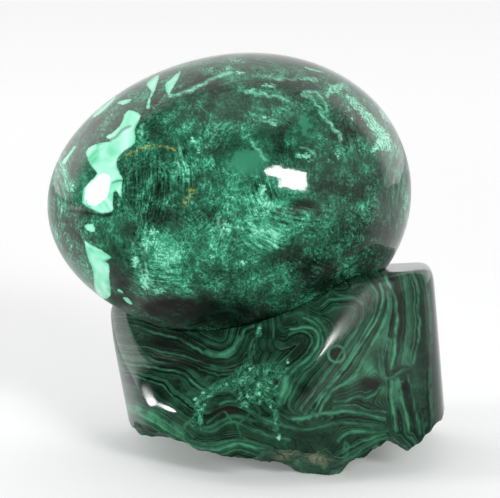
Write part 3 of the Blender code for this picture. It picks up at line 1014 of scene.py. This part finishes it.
def eye_values(places):
    """The dark core and the light ring of the eye in the banding."""
    distance = np.hypot(places[:, 0] - EYE_MIDDLE[0], places[:, 1] - EYE_MIDDLE[1])
    return fade(-distance, -EYE_CORE - 1.5, -EYE_CORE + 1.0), 0.8 * np.exp(-((distance - EYE_RING) ** 2))


def make_stand():
    points, below = stand_points()
    mesh, corners = closed_mesh("malachite_stand", points)
    depth_below = by_vertex(below)
    normals = corners - STAND_HEART
    normals /= np.linalg.norm(normals, axis=1)[:, None]

    in_front = facing_front(normals) * fade(-corners[:, 1], -14.0, 6.0)
    strayed = wander(corners, 26.0, 16.0, 2)
    behind = (1.0 - in_front)[:, None]
    places = picture_place(corners * (1.0 - behind) + strayed * behind)
    core, ring_line = eye_values(places)
    uneven_places = picture_place(wander(corners, 2.4, 0.35, 3)) + places - picture_place(corners)
    lines = line_strength(uneven_places, [band[1:] for band in STAND_BANDS])
    lines = np.maximum(np.maximum(lines, line_strength(uneven_places, STAND_LINES)), ring_line)
    set_values(mesh, "band", band_place(places))
    set_values(mesh, "line", lines * (0.45 + 0.55 * in_front))
    # shade holds the stone's own tone, the eye's dark core and painted shade just under the egg
    set_values(mesh, "shade", shade_amount(places, STAND_SHADES) - core)
    set_values(mesh, "brown", np.clip(shade_amount(places, STAND_BROWNS), 0.0, 1.0))
    set_values(mesh, "tan", in_front * np.clip(shade_amount(places, STAND_TANS), 0.0, 1.0))
    set_values(mesh, "breccia", line_strength(places, STAND_BRECCIA))
    set_values(mesh, "mint", in_front * np.clip(spot_depth(places, STAND_MINT_SPOTS), -6.0, 6.0) - 6.0 * (1 - in_front))
    set_values(mesh, "calm", np.clip(shade_amount(places, STAND_CALM), 0.0, 1.0))
    set_values(mesh, "dull", in_front * np.clip(shade_amount(places, STAND_DULL), 0.0, 2.0))
    polished_below = POLISHED_BELOW * in_front * fade(-corners[:, 0], 0.0, 9.0)
    set_values(mesh, "below_edge", np.clip(depth_below - polished_below, -20.0, 20.0))
    piece = placed_piece("malachite_stand", mesh, "stand")
    piece.data.materials.append(stand_malachite())
    return piece


# Material parts

def add(tree, kind, sockets=None, **settings):
    """A node with its settings, and its sockets given a value or linked from another node's socket."""
    made = tree.nodes.new(kind)
    for name, value in settings.items():
        setattr(made, name, value)
    for name, value in (sockets or {}).items():
        if isinstance(value, bpy.types.NodeSocket):
            tree.links.new(value, made.inputs[name])
        else:
            made.inputs[name].default_value = value
    return made


def maths(tree, operation, *values):
    return add(tree, "ShaderNodeMath", dict(enumerate(values)), operation=operation).outputs[0]


def vector_maths(tree, operation, *values):
    return add(tree, "ShaderNodeVectorMath", dict(enumerate(values)), operation=operation).outputs[0]


def scaled(tree, vector, factor):
    made = add(tree, "ShaderNodeVectorMath", {0: vector}, operation="SCALE")
    made.inputs["Scale"].default_value = factor
    return made.outputs[0]


def mixed(tree, factor, first, second, blend="MIX"):
    """Second colour over the first, by the factor."""
    made = add(tree, "ShaderNodeMix", {0: factor, 6: first, 7: second}, data_type="RGBA", blend_type=blend)
    return made.outputs[2]


def rise(tree, value, low, high, bottom=0.0, top=1.0):
    """A smooth rise between two values."""
    sockets = {"Value": value, "From Min": low, "From Max": high, "To Min": bottom, "To Max": top}
    return add(tree, "ShaderNodeMapRange", sockets, interpolation_type="SMOOTHSTEP").outputs[0]


def ramp(tree, factor, *stops):
    """Colours along a factor, each stop a place and a colour."""
    made = add(tree, "ShaderNodeValToRGB", {"Fac": factor})
    colours = made.color_ramp.elements
    colours[0].position, colours[0].color = stops[0]
    colours[1].position, colours[1].color = stops[-1]
    for place, colour in stops[1:-1]:
        colours.new(place).color = colour
    return made.outputs["Color"]


def surface_value(tree, name):
    return add(tree, "ShaderNodeAttribute", attribute_name=name).outputs["Fac"]


def noise_value(tree, place, scale, detail=2.0, roughness=0.5, distortion=0.0):
    sockets = {"Vector": place, "Scale": scale, "Detail": detail, "Roughness": roughness, "Distortion": distortion}
    return add(tree, "ShaderNodeTexNoise", sockets).outputs[0]


def stone_place(tree):
    """Place on the stone in mm."""
    return scaled(tree, add(tree, "ShaderNodeTexCoord").outputs["Object"], 1000.0)


def new_group(name, inputs, outputs):
    """An empty node group with named inputs (kind and value) and outputs (kind)."""
    tree = bpy.data.node_groups.new(name, "ShaderNodeTree")
    for label, (kind, value) in inputs.items():
        socket = tree.interface.new_socket(label, in_out="INPUT", socket_type=kind)
        if value is not None:
            socket.default_value = value
    for label, kind in outputs.items():
        tree.interface.new_socket(label, in_out="OUTPUT", socket_type=kind)
    return tree, tree.nodes.new("NodeGroupInput").outputs, tree.nodes.new("NodeGroupOutput").inputs


def placed_group(tree, group, sockets):
    return add(tree, "ShaderNodeGroup", sockets, node_tree=group).outputs


def felted_fibres():
    """Needles of the stone, in small bundles that each lie their own way."""
    float_kind, vector_kind = "NodeSocketFloat", "NodeSocketVector"
    inputs = {
        "Place": (vector_kind, None),
        "Bundle Size": (float_kind, 3.0),
        "Needle Width": (float_kind, 0.34),
        "Needle Length": (float_kind, 2.6),
    }
    tree, given, result = new_group("felted fibres", inputs, {"Needles": float_kind})
    layers = []
    for shift in (0.0, 41.7):
        place = vector_maths(tree, "ADD", given["Place"], (shift, shift * 0.7, -shift))
        bundles = add(tree, "ShaderNodeTexVoronoi", {"Vector": place}, feature="F1")
        tree.links.new(maths(tree, "DIVIDE", 1.0, given["Bundle Size"]), bundles.inputs["Scale"])
        turn = scaled(tree, bundles.outputs["Color"], 2.0 * pi)
        turned = add(
            tree, "ShaderNodeVectorRotate", {"Vector": place, "Rotation": turn}, rotation_type="EULER_XYZ"
        ).outputs[0]
        across = maths(tree, "DIVIDE", 1.0, given["Needle Width"])
        along = maths(tree, "DIVIDE", 1.0, given["Needle Length"])
        stretch = add(tree, "ShaderNodeCombineXYZ", {"X": along, "Y": across, "Z": across}).outputs[0]
        stretched = vector_maths(tree, "MULTIPLY", turned, stretch)
        layers.append(noise_value(tree, stretched, 0.55, 1.0, 0.5))
    both = maths(tree, "MAXIMUM", layers[0], maths(tree, "SUBTRACT", layers[1], 0.03))
    tree.links.new(rise(tree, both, 0.45, 0.70), result["Needles"])
    return tree


def dark_specks():
    """Small black pits and inclusions, here and there."""
    float_kind, vector_kind = "NodeSocketFloat", "NodeSocketVector"
    inputs = {"Place": (vector_kind, None), "Spacing": (float_kind, 4.0), "Size": (float_kind, 0.12)}
    tree, given, result = new_group("dark specks", inputs, {"Specks": float_kind})
    shift = add(tree, "ShaderNodeTexNoise", {"Vector": given["Place"], "Scale": 1.3}).outputs["Color"]
    place = vector_maths(tree, "ADD", given["Place"], scaled(tree, shift, 1.8))
    cells = add(tree, "ShaderNodeTexVoronoi", {"Vector": place}, feature="F1")
    tree.links.new(maths(tree, "DIVIDE", 1.0, given["Spacing"]), cells.inputs["Scale"])
    near = rise(tree, maths(tree, "SUBTRACT", given["Size"], cells.outputs["Distance"]), 0.0, 0.05)
    chosen = add(tree, "ShaderNodeSeparateColor", {"Color": cells.outputs["Color"]}).outputs[0]
    tree.links.new(maths(tree, "MULTIPLY", near, rise(tree, chosen, 0.62, 0.70)), result["Specks"])
    return tree


def polish_marks():
    """Uneven gloss of hand polished stone, and its faint waviness."""
    float_kind, vector_kind = "NodeSocketFloat", "NodeSocketVector"
    inputs = {"Place": (vector_kind, None), "Gloss": (float_kind, 0.08)}
    outputs = {"Roughness": float_kind, "Height": float_kind}
    tree, given, result = new_group("polish marks", inputs, outputs)
    clouds = noise_value(tree, given["Place"], 0.12, 3.0)
    fine = noise_value(tree, given["Place"], 2.2, 2.0)
    uneven = maths(tree, "ADD", maths(tree, "MULTIPLY", clouds, 0.6), maths(tree, "MULTIPLY", fine, 0.8))
    tree.links.new(maths(tree, "MULTIPLY", given["Gloss"], maths(tree, "ADD", uneven, 0.3)), result["Roughness"])
    waves = noise_value(tree, given["Place"], 0.16, 2.0)
    tree.links.new(maths(tree, "ADD", waves, maths(tree, "MULTIPLY", fine, 0.02)), result["Height"])
    return tree


def layered_bands():
    """Light and dark layers along the place in the stack, in three sizes."""
    float_kind, vector_kind = "NodeSocketFloat", "NodeSocketVector"
    inputs = {"Place": (vector_kind, None), "Band": (float_kind, 0.0)}
    outputs = {"Broad": float_kind, "Middle": float_kind, "Fine": float_kind}
    tree, given, result = new_group("layered bands", inputs, outputs)
    stray = maths(tree, "SUBTRACT", noise_value(tree, given["Place"], 0.35, 3.0), 0.5)
    band = maths(tree, "ADD", given["Band"], maths(tree, "MULTIPLY", stray, 4.5))
    for label, turns, low, high in (("Broad", 0.085, 0.30, 0.70), ("Middle", 0.26, 0.32, 0.70), ("Fine", 0.60, 0.46, 0.66)):
        layers = add(
            tree, "ShaderNodeTexNoise", {"W": band, "Scale": turns, "Detail": 1.0}, noise_dimensions="1D"
        ).outputs[0]
        tree.links.new(rise(tree, layers, low, high), result[label])
    return tree


FELTED_FIBRES = felted_fibres()
DARK_SPECKS = dark_specks()
POLISH_MARKS = polish_marks()
LAYERED_BANDS = layered_bands()


def new_material(name, stone_ior):
    """A material with its stone shader, and the place on the stone in mm."""
    material = bpy.data.materials.new(name)
    material.use_nodes = True
    tree = material.node_tree
    shader = tree.nodes["Principled BSDF"]
    shader.inputs["IOR"].default_value = stone_ior
    return material, tree, shader, stone_place(tree)


def egg_malachite():
    material, tree, shader, place = new_material("egg_malachite", 1.6)
    shade = surface_value(tree, "shade")
    smooth = surface_value(tree, "smooth")
    combed = surface_value(tree, "combed")

    needles = placed_group(tree, FELTED_FIBRES, {"Place": place})["Needles"]
    long_needles = placed_group(
        tree, FELTED_FIBRES, {"Place": place, "Bundle Size": 7.0, "Needle Width": 0.5, "Needle Length": 5.0}
    )["Needles"]
    clouds = noise_value(tree, place, 0.055, 4.0, 0.55)
    drift = noise_value(tree, place, 0.19, 3.0, 0.6)
    mottle = noise_value(tree, place, 0.55, 3.0, 0.65)
    felt = maths(tree, "ADD", maths(tree, "MULTIPLY", needles, 0.60), maths(tree, "MULTIPLY", long_needles, 0.40))
    plain = maths(tree, "SUBTRACT", 1.0, maths(tree, "MULTIPLY", smooth, 0.85))
    felt = maths(tree, "MULTIPLY", felt, maths(tree, "MULTIPLY", plain, rise(tree, drift, 0.38, 0.62, 0.45, 1.0)))
    lie = add(
        tree,
        "ShaderNodeCombineXYZ",
        {
            0: maths(tree, "MULTIPLY", surface_value(tree, "across_fibres"), 0.42),
            1: maths(tree, "MULTIPLY", surface_value(tree, "along_fibres"), 0.05),
        },
    ).outputs[0]
    lie = vector_maths(tree, "ADD", lie, scaled(tree, place, 0.06))
    strands = maths(tree, "SUBTRACT", noise_value(tree, lie, 1.0, 3.0, 0.7, 0.25), 0.5)
    level = maths(tree, "ADD", maths(tree, "MULTIPLY", clouds, 0.55), maths(tree, "MULTIPLY", drift, 0.50))
    level = maths(tree, "ADD", level, maths(tree, "MULTIPLY", mottle, 0.22))
    # shade: the stone's own lighter and darker tone, and painted shade low on the egg beside the stand
    level = maths(tree, "ADD", level, maths(tree, "MULTIPLY", shade, 0.30))
    level = maths(tree, "ADD", level, maths(tree, "MULTIPLY", felt, 0.50))
    level = maths(tree, "ADD", level, maths(tree, "MULTIPLY", maths(tree, "MULTIPLY", strands, combed), 1.60))
    level = maths(tree, "ADD", level, rise(tree, surface_value(tree, "leaf"), -0.6, 1.4, -0.03, 0.09))
    green = ramp(
        tree,
        maths(tree, "SUBTRACT", level, 0.275),
        (0.06, from_display(10, 21, 16)),
        (0.27, from_display(24, 56, 42)),
        (0.45, from_display(40, 92, 69)),
        (0.63, from_display(54, 132, 101)),
        (0.81, from_display(80, 174, 138)),
        (0.98, from_display(136, 214, 182)),
    )
    earthy = maths(tree, "MULTIPLY", rise(tree, noise_value(tree, place, 0.13, 4.0, 0.6, 0.8), 0.50, 0.66), 0.34)
    green = mixed(tree, maths(tree, "MULTIPLY", earthy, rise(tree, level, 0.95, 0.55)), green, from_display(46, 52, 45))
    uneven = maths(tree, "ADD", maths(tree, "MULTIPLY", drift, 1.3), maths(tree, "MULTIPLY", mottle, 0.7))
    uneven_shade = maths(tree, "ADD", shade, maths(tree, "SUBTRACT", uneven, 1.0))
    emerald = maths(tree, "MULTIPLY", smooth, rise(tree, uneven_shade, 0.14, 0.30))
    green = mixed(tree, maths(tree, "MULTIPLY", emerald, 0.68), green, from_display(60, 144, 110))
    specks = placed_group(tree, DARK_SPECKS, {"Place": place})["Specks"]
    green = mixed(tree, specks, green, from_display(5, 12, 9))

    ragged = maths(tree, "SUBTRACT", noise_value(tree, place, 0.9, 3.0, 0.6), 0.5)
    grains = maths(tree, "SUBTRACT", noise_value(tree, place, 1.4, 2.0, 0.7), 0.5)
    mint_depth = maths(tree, "ADD", surface_value(tree, "mint"), maths(tree, "MULTIPLY", ragged, 2.2))
    folds = noise_value(tree, place, 0.12, 2.0, 0.45, 1.4)
    mint = ramp(
        tree,
        maths(tree, "ADD", folds, maths(tree, "MULTIPLY", shade, 0.22)),
        (0.30, from_display(92, 200, 150)),
        (0.44, from_display(130, 222, 182)),
        (0.56, from_display(160, 232, 204)),
        (0.70, from_display(188, 240, 222)),
    )
    mint = mixed(tree, rise(tree, mint_depth, 2.6, 0.0, 0.0, 0.45), mint, from_display(84, 190, 142))
    stone = mixed(tree, rise(tree, mint_depth, -0.3, 0.7), green, mint)
    grainy = maths(tree, "ADD", surface_value(tree, "grainy_mint"), maths(tree, "MULTIPLY", grains, 9.0))
    grainy = maths(tree, "ADD", grainy, maths(tree, "MULTIPLY", ragged, 8.0))
    pale_grains = ramp(tree, needles, (0.1, from_display(84, 180, 140)), (0.8, from_display(156, 226, 198)))
    stone = mixed(tree, rise(tree, grainy, 0.0, 1.6, 0.0, 0.95), stone, pale_grains)
    line = maths(tree, "MULTIPLY", surface_value(tree, "line"), rise(tree, grains, -0.16, 0.06, 0.25, 1.0))
    stone = mixed(tree, line, stone, from_display(136, 224, 184))
    gold = maths(tree, "MULTIPLY", surface_value(tree, "gold"), rise(tree, grains, -0.04, 0.12))
    stone = mixed(tree, gold, stone, from_display(176, 164, 66))
    stone = mixed(tree, surface_value(tree, "crack"), stone, from_display(10, 22, 17))

    polish = placed_group(tree, POLISH_MARKS, {"Place": place, "Gloss": 0.07})
    bumps = add(tree, "ShaderNodeBump", {"Height": polish["Height"], "Strength": 0.11, "Distance": 0.001})
    dull = surface_value(tree, "dull")
    tree.links.new(stone, shader.inputs["Base Color"])
    tree.links.new(maths(tree, "ADD", polish["Roughness"], maths(tree, "MULTIPLY", dull, 0.35)), shader.inputs["Roughness"])
    tree.links.new(bumps.outputs[0], shader.inputs["Normal"])
    return material


def stand_malachite():
    material, tree, shader, place = new_material("stand_malachite", 1.6)
    shade = surface_value(tree, "shade")
    bands = placed_group(tree, LAYERED_BANDS, {"Place": place, "Band": surface_value(tree, "band")})
    banded = maths(tree, "SUBTRACT", 1.0, maths(tree, "MULTIPLY", surface_value(tree, "calm"), 0.85))
    layers = maths(tree, "ADD", maths(tree, "MULTIPLY", bands["Broad"], 0.26), maths(tree, "MULTIPLY", bands["Middle"], 0.20))
    mottle = noise_value(tree, place, 0.3, 4.0, 0.6, 0.5)
    level = maths(tree, "ADD", maths(tree, "MULTIPLY", maths(tree, "SUBTRACT", layers, 0.22), banded), 0.22)
    # shade: the stone's own lighter and darker tone, the eye's dark core, and painted shade just under the egg
    level = maths(tree, "ADD", level, maths(tree, "MULTIPLY", shade, 0.42))
    level = maths(tree, "ADD", level, maths(tree, "MULTIPLY", noise_value(tree, place, 0.1, 3.0), 0.20))
    level = maths(tree, "ADD", level, maths(tree, "MULTIPLY", maths(tree, "SUBTRACT", mottle, 0.5), 0.45))
    green = ramp(
        tree,
        level,
        (0.06, from_display(7, 15, 11)),
        (0.26, from_display(17, 36, 27)),
        (0.44, from_display(31, 64, 48)),
        (0.62, from_display(48, 96, 72)),
        (0.90, from_display(72, 144, 108)),
    )
    hairlines = maths(tree, "MULTIPLY", bands["Fine"], rise(tree, level, 0.10, 0.70, 0.16, 0.55))
    green = mixed(tree, maths(tree, "MULTIPLY", hairlines, banded), green, from_display(58, 124, 92))
    green = mixed(tree, maths(tree, "MULTIPLY", surface_value(tree, "brown"), 0.75), green, from_display(36, 30, 27))
    line = surface_value(tree, "line")
    unsteady = rise(tree, noise_value(tree, place, 0.22, 3.0, 0.6), 0.34, 0.62, 0.22, 0.95)
    green = mixed(tree, maths(tree, "MULTIPLY", line, unsteady), green, from_display(78, 158, 118))

    crumbs = noise_value(tree, place, 0.75, 5.0, 0.70, 0.9)
    grains = ramp(
        tree,
        crumbs,
        (0.34, from_display(14, 32, 24)),
        (0.46, from_display(34, 82, 60)),
        (0.55, from_display(54, 118, 90)),
        (0.63, from_display(84, 160, 126)),
        (0.72, from_display(140, 212, 180)),
    )
    broken = maths(tree, "ADD", surface_value(tree, "breccia"), maths(tree, "SUBTRACT", noise_value(tree, place, 0.3, 4.0), 0.5))
    green = mixed(tree, rise(tree, broken, 0.28, 0.62, 0.0, 0.9), green, grains)
    ragged = maths(tree, "MULTIPLY", maths(tree, "SUBTRACT", noise_value(tree, place, 1.1, 3.0, 0.6), 0.5), 6.0)
    mint = rise(tree, maths(tree, "ADD", surface_value(tree, "mint"), ragged), -0.2, 1.2, 0.0, 0.85)
    polished = mixed(tree, mint, green, from_display(128, 208, 172))

    edge_noise = maths(tree, "MULTIPLY", maths(tree, "SUBTRACT", noise_value(tree, place, 0.5, 4.0, 0.6), 0.5), 1.4)
    rough = rise(tree, maths(tree, "ADD", surface_value(tree, "below_edge"), edge_noise), -0.15, 0.35)
    matt = ramp(
        tree,
        noise_value(tree, place, 0.22, 6.0, 0.62, 0.6),
        (0.30, from_display(24, 62, 44)),
        (0.46, from_display(48, 108, 78)),
        (0.58, from_display(76, 142, 106)),
        (0.74, from_display(120, 172, 138)),
    )
    matt = mixed(tree, maths(tree, "MULTIPLY", bands["Middle"], 0.45), matt, from_display(30, 84, 58))
    tan_grains = maths(tree, "MULTIPLY", surface_value(tree, "tan"), rise(tree, noise_value(tree, place, 0.9, 3.0), 0.36, 0.56))
    matt = mixed(tree, tan_grains, matt, from_display(168, 166, 138))
    stone = mixed(tree, rough, polished, matt)

    polish = placed_group(tree, POLISH_MARKS, {"Place": place, "Gloss": 0.08})
    dull = surface_value(tree, "dull")
    gloss = maths(tree, "ADD", polish["Roughness"], maths(tree, "MULTIPLY", dull, 0.30))
    roughness = add(tree, "ShaderNodeMix", {0: rough, 2: gloss, 3: 0.62}, data_type="FLOAT").outputs[0]
    crumbly = maths(tree, "MULTIPLY", noise_value(tree, place, 0.8, 6.0, 0.65), maths(tree, "MULTIPLY", rough, 2.6))
    height = maths(tree, "ADD", maths(tree, "MULTIPLY", polish["Height"], 0.05), crumbly)
    bumps = add(tree, "ShaderNodeBump", {"Height": height, "Strength": 0.8, "Distance": 0.0008})
    tree.links.new(stone, shader.inputs["Base Color"])
    tree.links.new(roughness, shader.inputs["Roughness"])
    tree.links.new(bumps.outputs[0], shader.inputs["Normal"])
    return material


# Surroundings

FLOOR_HALF = 6.0
FLOOR_DARK_FROM, FLOOR_DARK_TO = 0.03, -0.07
FLOOR_SHADE = 0.92
# Glow that lifts the floor as the camera sees it, near the object and further back
FLOOR_GLOW_NEAR, FLOOR_GLOW_FAR = 0.12, 0.24
# Soft lights: shape, direction from the object, distance, size across and up, turn in degrees, and radiance
LEFT_LIGHT = ("ELLIPSE", (-0.972, -0.165, 0.180), 1.5, (0.44, 0.58), -20.0, 18.0)
RIGHT_LIGHT = ("RECTANGLE", (0.440, -0.832, 0.335), 1.5, (0.42, 0.36), -14.0, 19.0)
WING_LIGHT = ("ELLIPSE", (0.315, -0.858, 0.425), 1.5, (0.42, 0.20), -34.0, 18.0)
# Brightness of the room: its back, overhead, the sides behind the object, at the front right, in front, and
# the soft light that comes from everywhere
ROOM_WHITE, ROOM_OVERHEAD, ROOM_SIDES, ROOM_RIGHT, ROOM_DARK, ROOM_SOFT = 1.0, 0.6, 0.9, 0.42, 0.02, 0.42


def pale_floor():
    """A pale floor, whose mirror image in the polish ends a little way in front."""
    mesh = bpy.data.meshes.new("floor")
    shape = bmesh.new()
    bmesh.ops.create_grid(shape, x_segments=2, y_segments=2, size=FLOOR_HALF)
    shape.to_mesh(mesh)
    shape.free()
    floor = bpy.data.objects.new("floor", mesh)
    bpy.context.scene.collection.objects.link(floor)
    floor.location.z = -0.0002
    material = bpy.data.materials.new("pale_floor")
    material.use_nodes = True
    tree = material.node_tree
    shader = tree.nodes["Principled BSDF"]
    shader.inputs["Roughness"].default_value = 0.9
    shader.inputs["Specular IOR Level"].default_value = 0.1
    place = add(tree, "ShaderNodeTexCoord").outputs["Object"]
    aside, deep, _ = add(tree, "ShaderNodeSeparateXYZ", {0: place}).outputs
    path = add(tree, "ShaderNodeLightPath").outputs
    seen, in_mirror = path["Is Camera Ray"], path["Is Glossy Ray"]
    dark = maths(tree, "MULTIPLY", in_mirror, rise(tree, deep, FLOOR_DARK_FROM, FLOOR_DARK_TO))
    dark = maths(tree, "MULTIPLY", dark, rise(tree, aside, 0.05, 0.5, 0.95, 0.65))
    shade = maths(tree, "MULTIPLY", FLOOR_SHADE, maths(tree, "SUBTRACT", 1.0, dark))
    colour = add(tree, "ShaderNodeCombineColor", {0: shade, 1: shade, 2: maths(tree, "MULTIPLY", shade, 1.01)}).outputs[0]
    glow = maths(tree, "MULTIPLY", seen, rise(tree, deep, 0.05, 1.0, FLOOR_GLOW_NEAR, FLOOR_GLOW_FAR))
    tree.links.new(colour, shader.inputs["Base Color"])
    tree.links.new(glow, shader.inputs["Emission Strength"])
    shader.inputs["Emission Color"].default_value = (1.0, 1.0, 1.0, 1.0)
    floor.data.materials.append(material)


def white_room():
    """White surroundings at the sides, the back and above, and dark ones on the camera's side."""
    world = bpy.data.worlds.new("white_room")
    bpy.context.scene.world = world
    world.use_nodes = True
    tree = world.node_tree
    background = tree.nodes["Background"]
    direction = add(tree, "ShaderNodeSeparateXYZ", {0: add(tree, "ShaderNodeTexCoord").outputs["Generated"]})
    toward_back = rise(tree, direction.outputs[1], 0.08, 0.42, ROOM_DARK, ROOM_WHITE)
    aside = maths(tree, "ABSOLUTE", direction.outputs[0])
    sides = maths(tree, "MULTIPLY", rise(tree, aside, 0.35, 0.80, 0.0, ROOM_SIDES), rise(tree, direction.outputs[1], 0.08, 0.42))
    overhead = rise(tree, direction.outputs[2], 0.80, 0.98, 0.0, ROOM_OVERHEAD)
    front_right = rise(tree, direction.outputs[0], 0.35, 0.75, 0.0, ROOM_RIGHT)
    level = maths(tree, "ADD", toward_back, sides)
    level = maths(tree, "MAXIMUM", level, maths(tree, "MAXIMUM", overhead, front_right))
    path = add(tree, "ShaderNodeLightPath")
    level = maths(tree, "MAXIMUM", level, maths(tree, "MULTIPLY", path.outputs["Is Diffuse Ray"], ROOM_SOFT))
    level = maths(tree, "MAXIMUM", level, maths(tree, "MULTIPLY", path.outputs["Is Camera Ray"], ROOM_WHITE))
    colour = add(tree, "ShaderNodeCombineColor", {0: level, 1: level, 2: level}).outputs[0]
    tree.links.new(colour, background.inputs["Color"])


def soft_light(name, light):
    """A softbox that looks at the object."""
    shape, direction, distance, (across, up), turn, radiance = light
    away = Vector(direction).normalized()
    lamp = bpy.data.lights.new(name, "AREA")
    lamp.shape = shape
    lamp.size, lamp.size_y = across, up
    lamp.energy = radiance * across * up * pi * (pi / 4 if shape == "ELLIPSE" else 1.0)
    holder = bpy.data.objects.new(name, lamp)
    bpy.context.scene.collection.objects.link(holder)
    holder.location = Vector(VIEW_TARGET) * MM + away * distance
    holder.rotation_mode = "QUATERNION"
    holder.rotation_quaternion = away.to_track_quat("Z", "Y") @ Quaternion((0.0, 0.0, 1.0), radians(turn))


def front_camera():
    """The camera at the front view's angle."""
    lens = bpy.data.cameras.new("front_camera")
    lens.sensor_fit = "HORIZONTAL"
    lens.sensor_width = 36.0
    lens.lens = lens.sensor_width * VIEW_DISTANCE / (MM_TO_A_PIXEL * PICTURE_WIDTH)
    lens.clip_start, lens.clip_end = 0.01, 30.0
    camera = bpy.data.objects.new("front_camera", lens)
    bpy.context.scene.collection.objects.link(camera)
    camera.location = Vector(VIEW_EYE) * MM
    camera.rotation_euler = (pi / 2 - VIEW_ELEVATION, 0.0, 0.0)
    bpy.context.scene.camera = camera


front_camera()
make_egg()
make_stand()
pale_floor()
white_room()
soft_light("left_light", LEFT_LIGHT)
soft_light("right_light", RIGHT_LIGHT)
soft_light("wing_light", WING_LIGHT)
bpy.context.scene.view_settings.view_transform = "Standard"
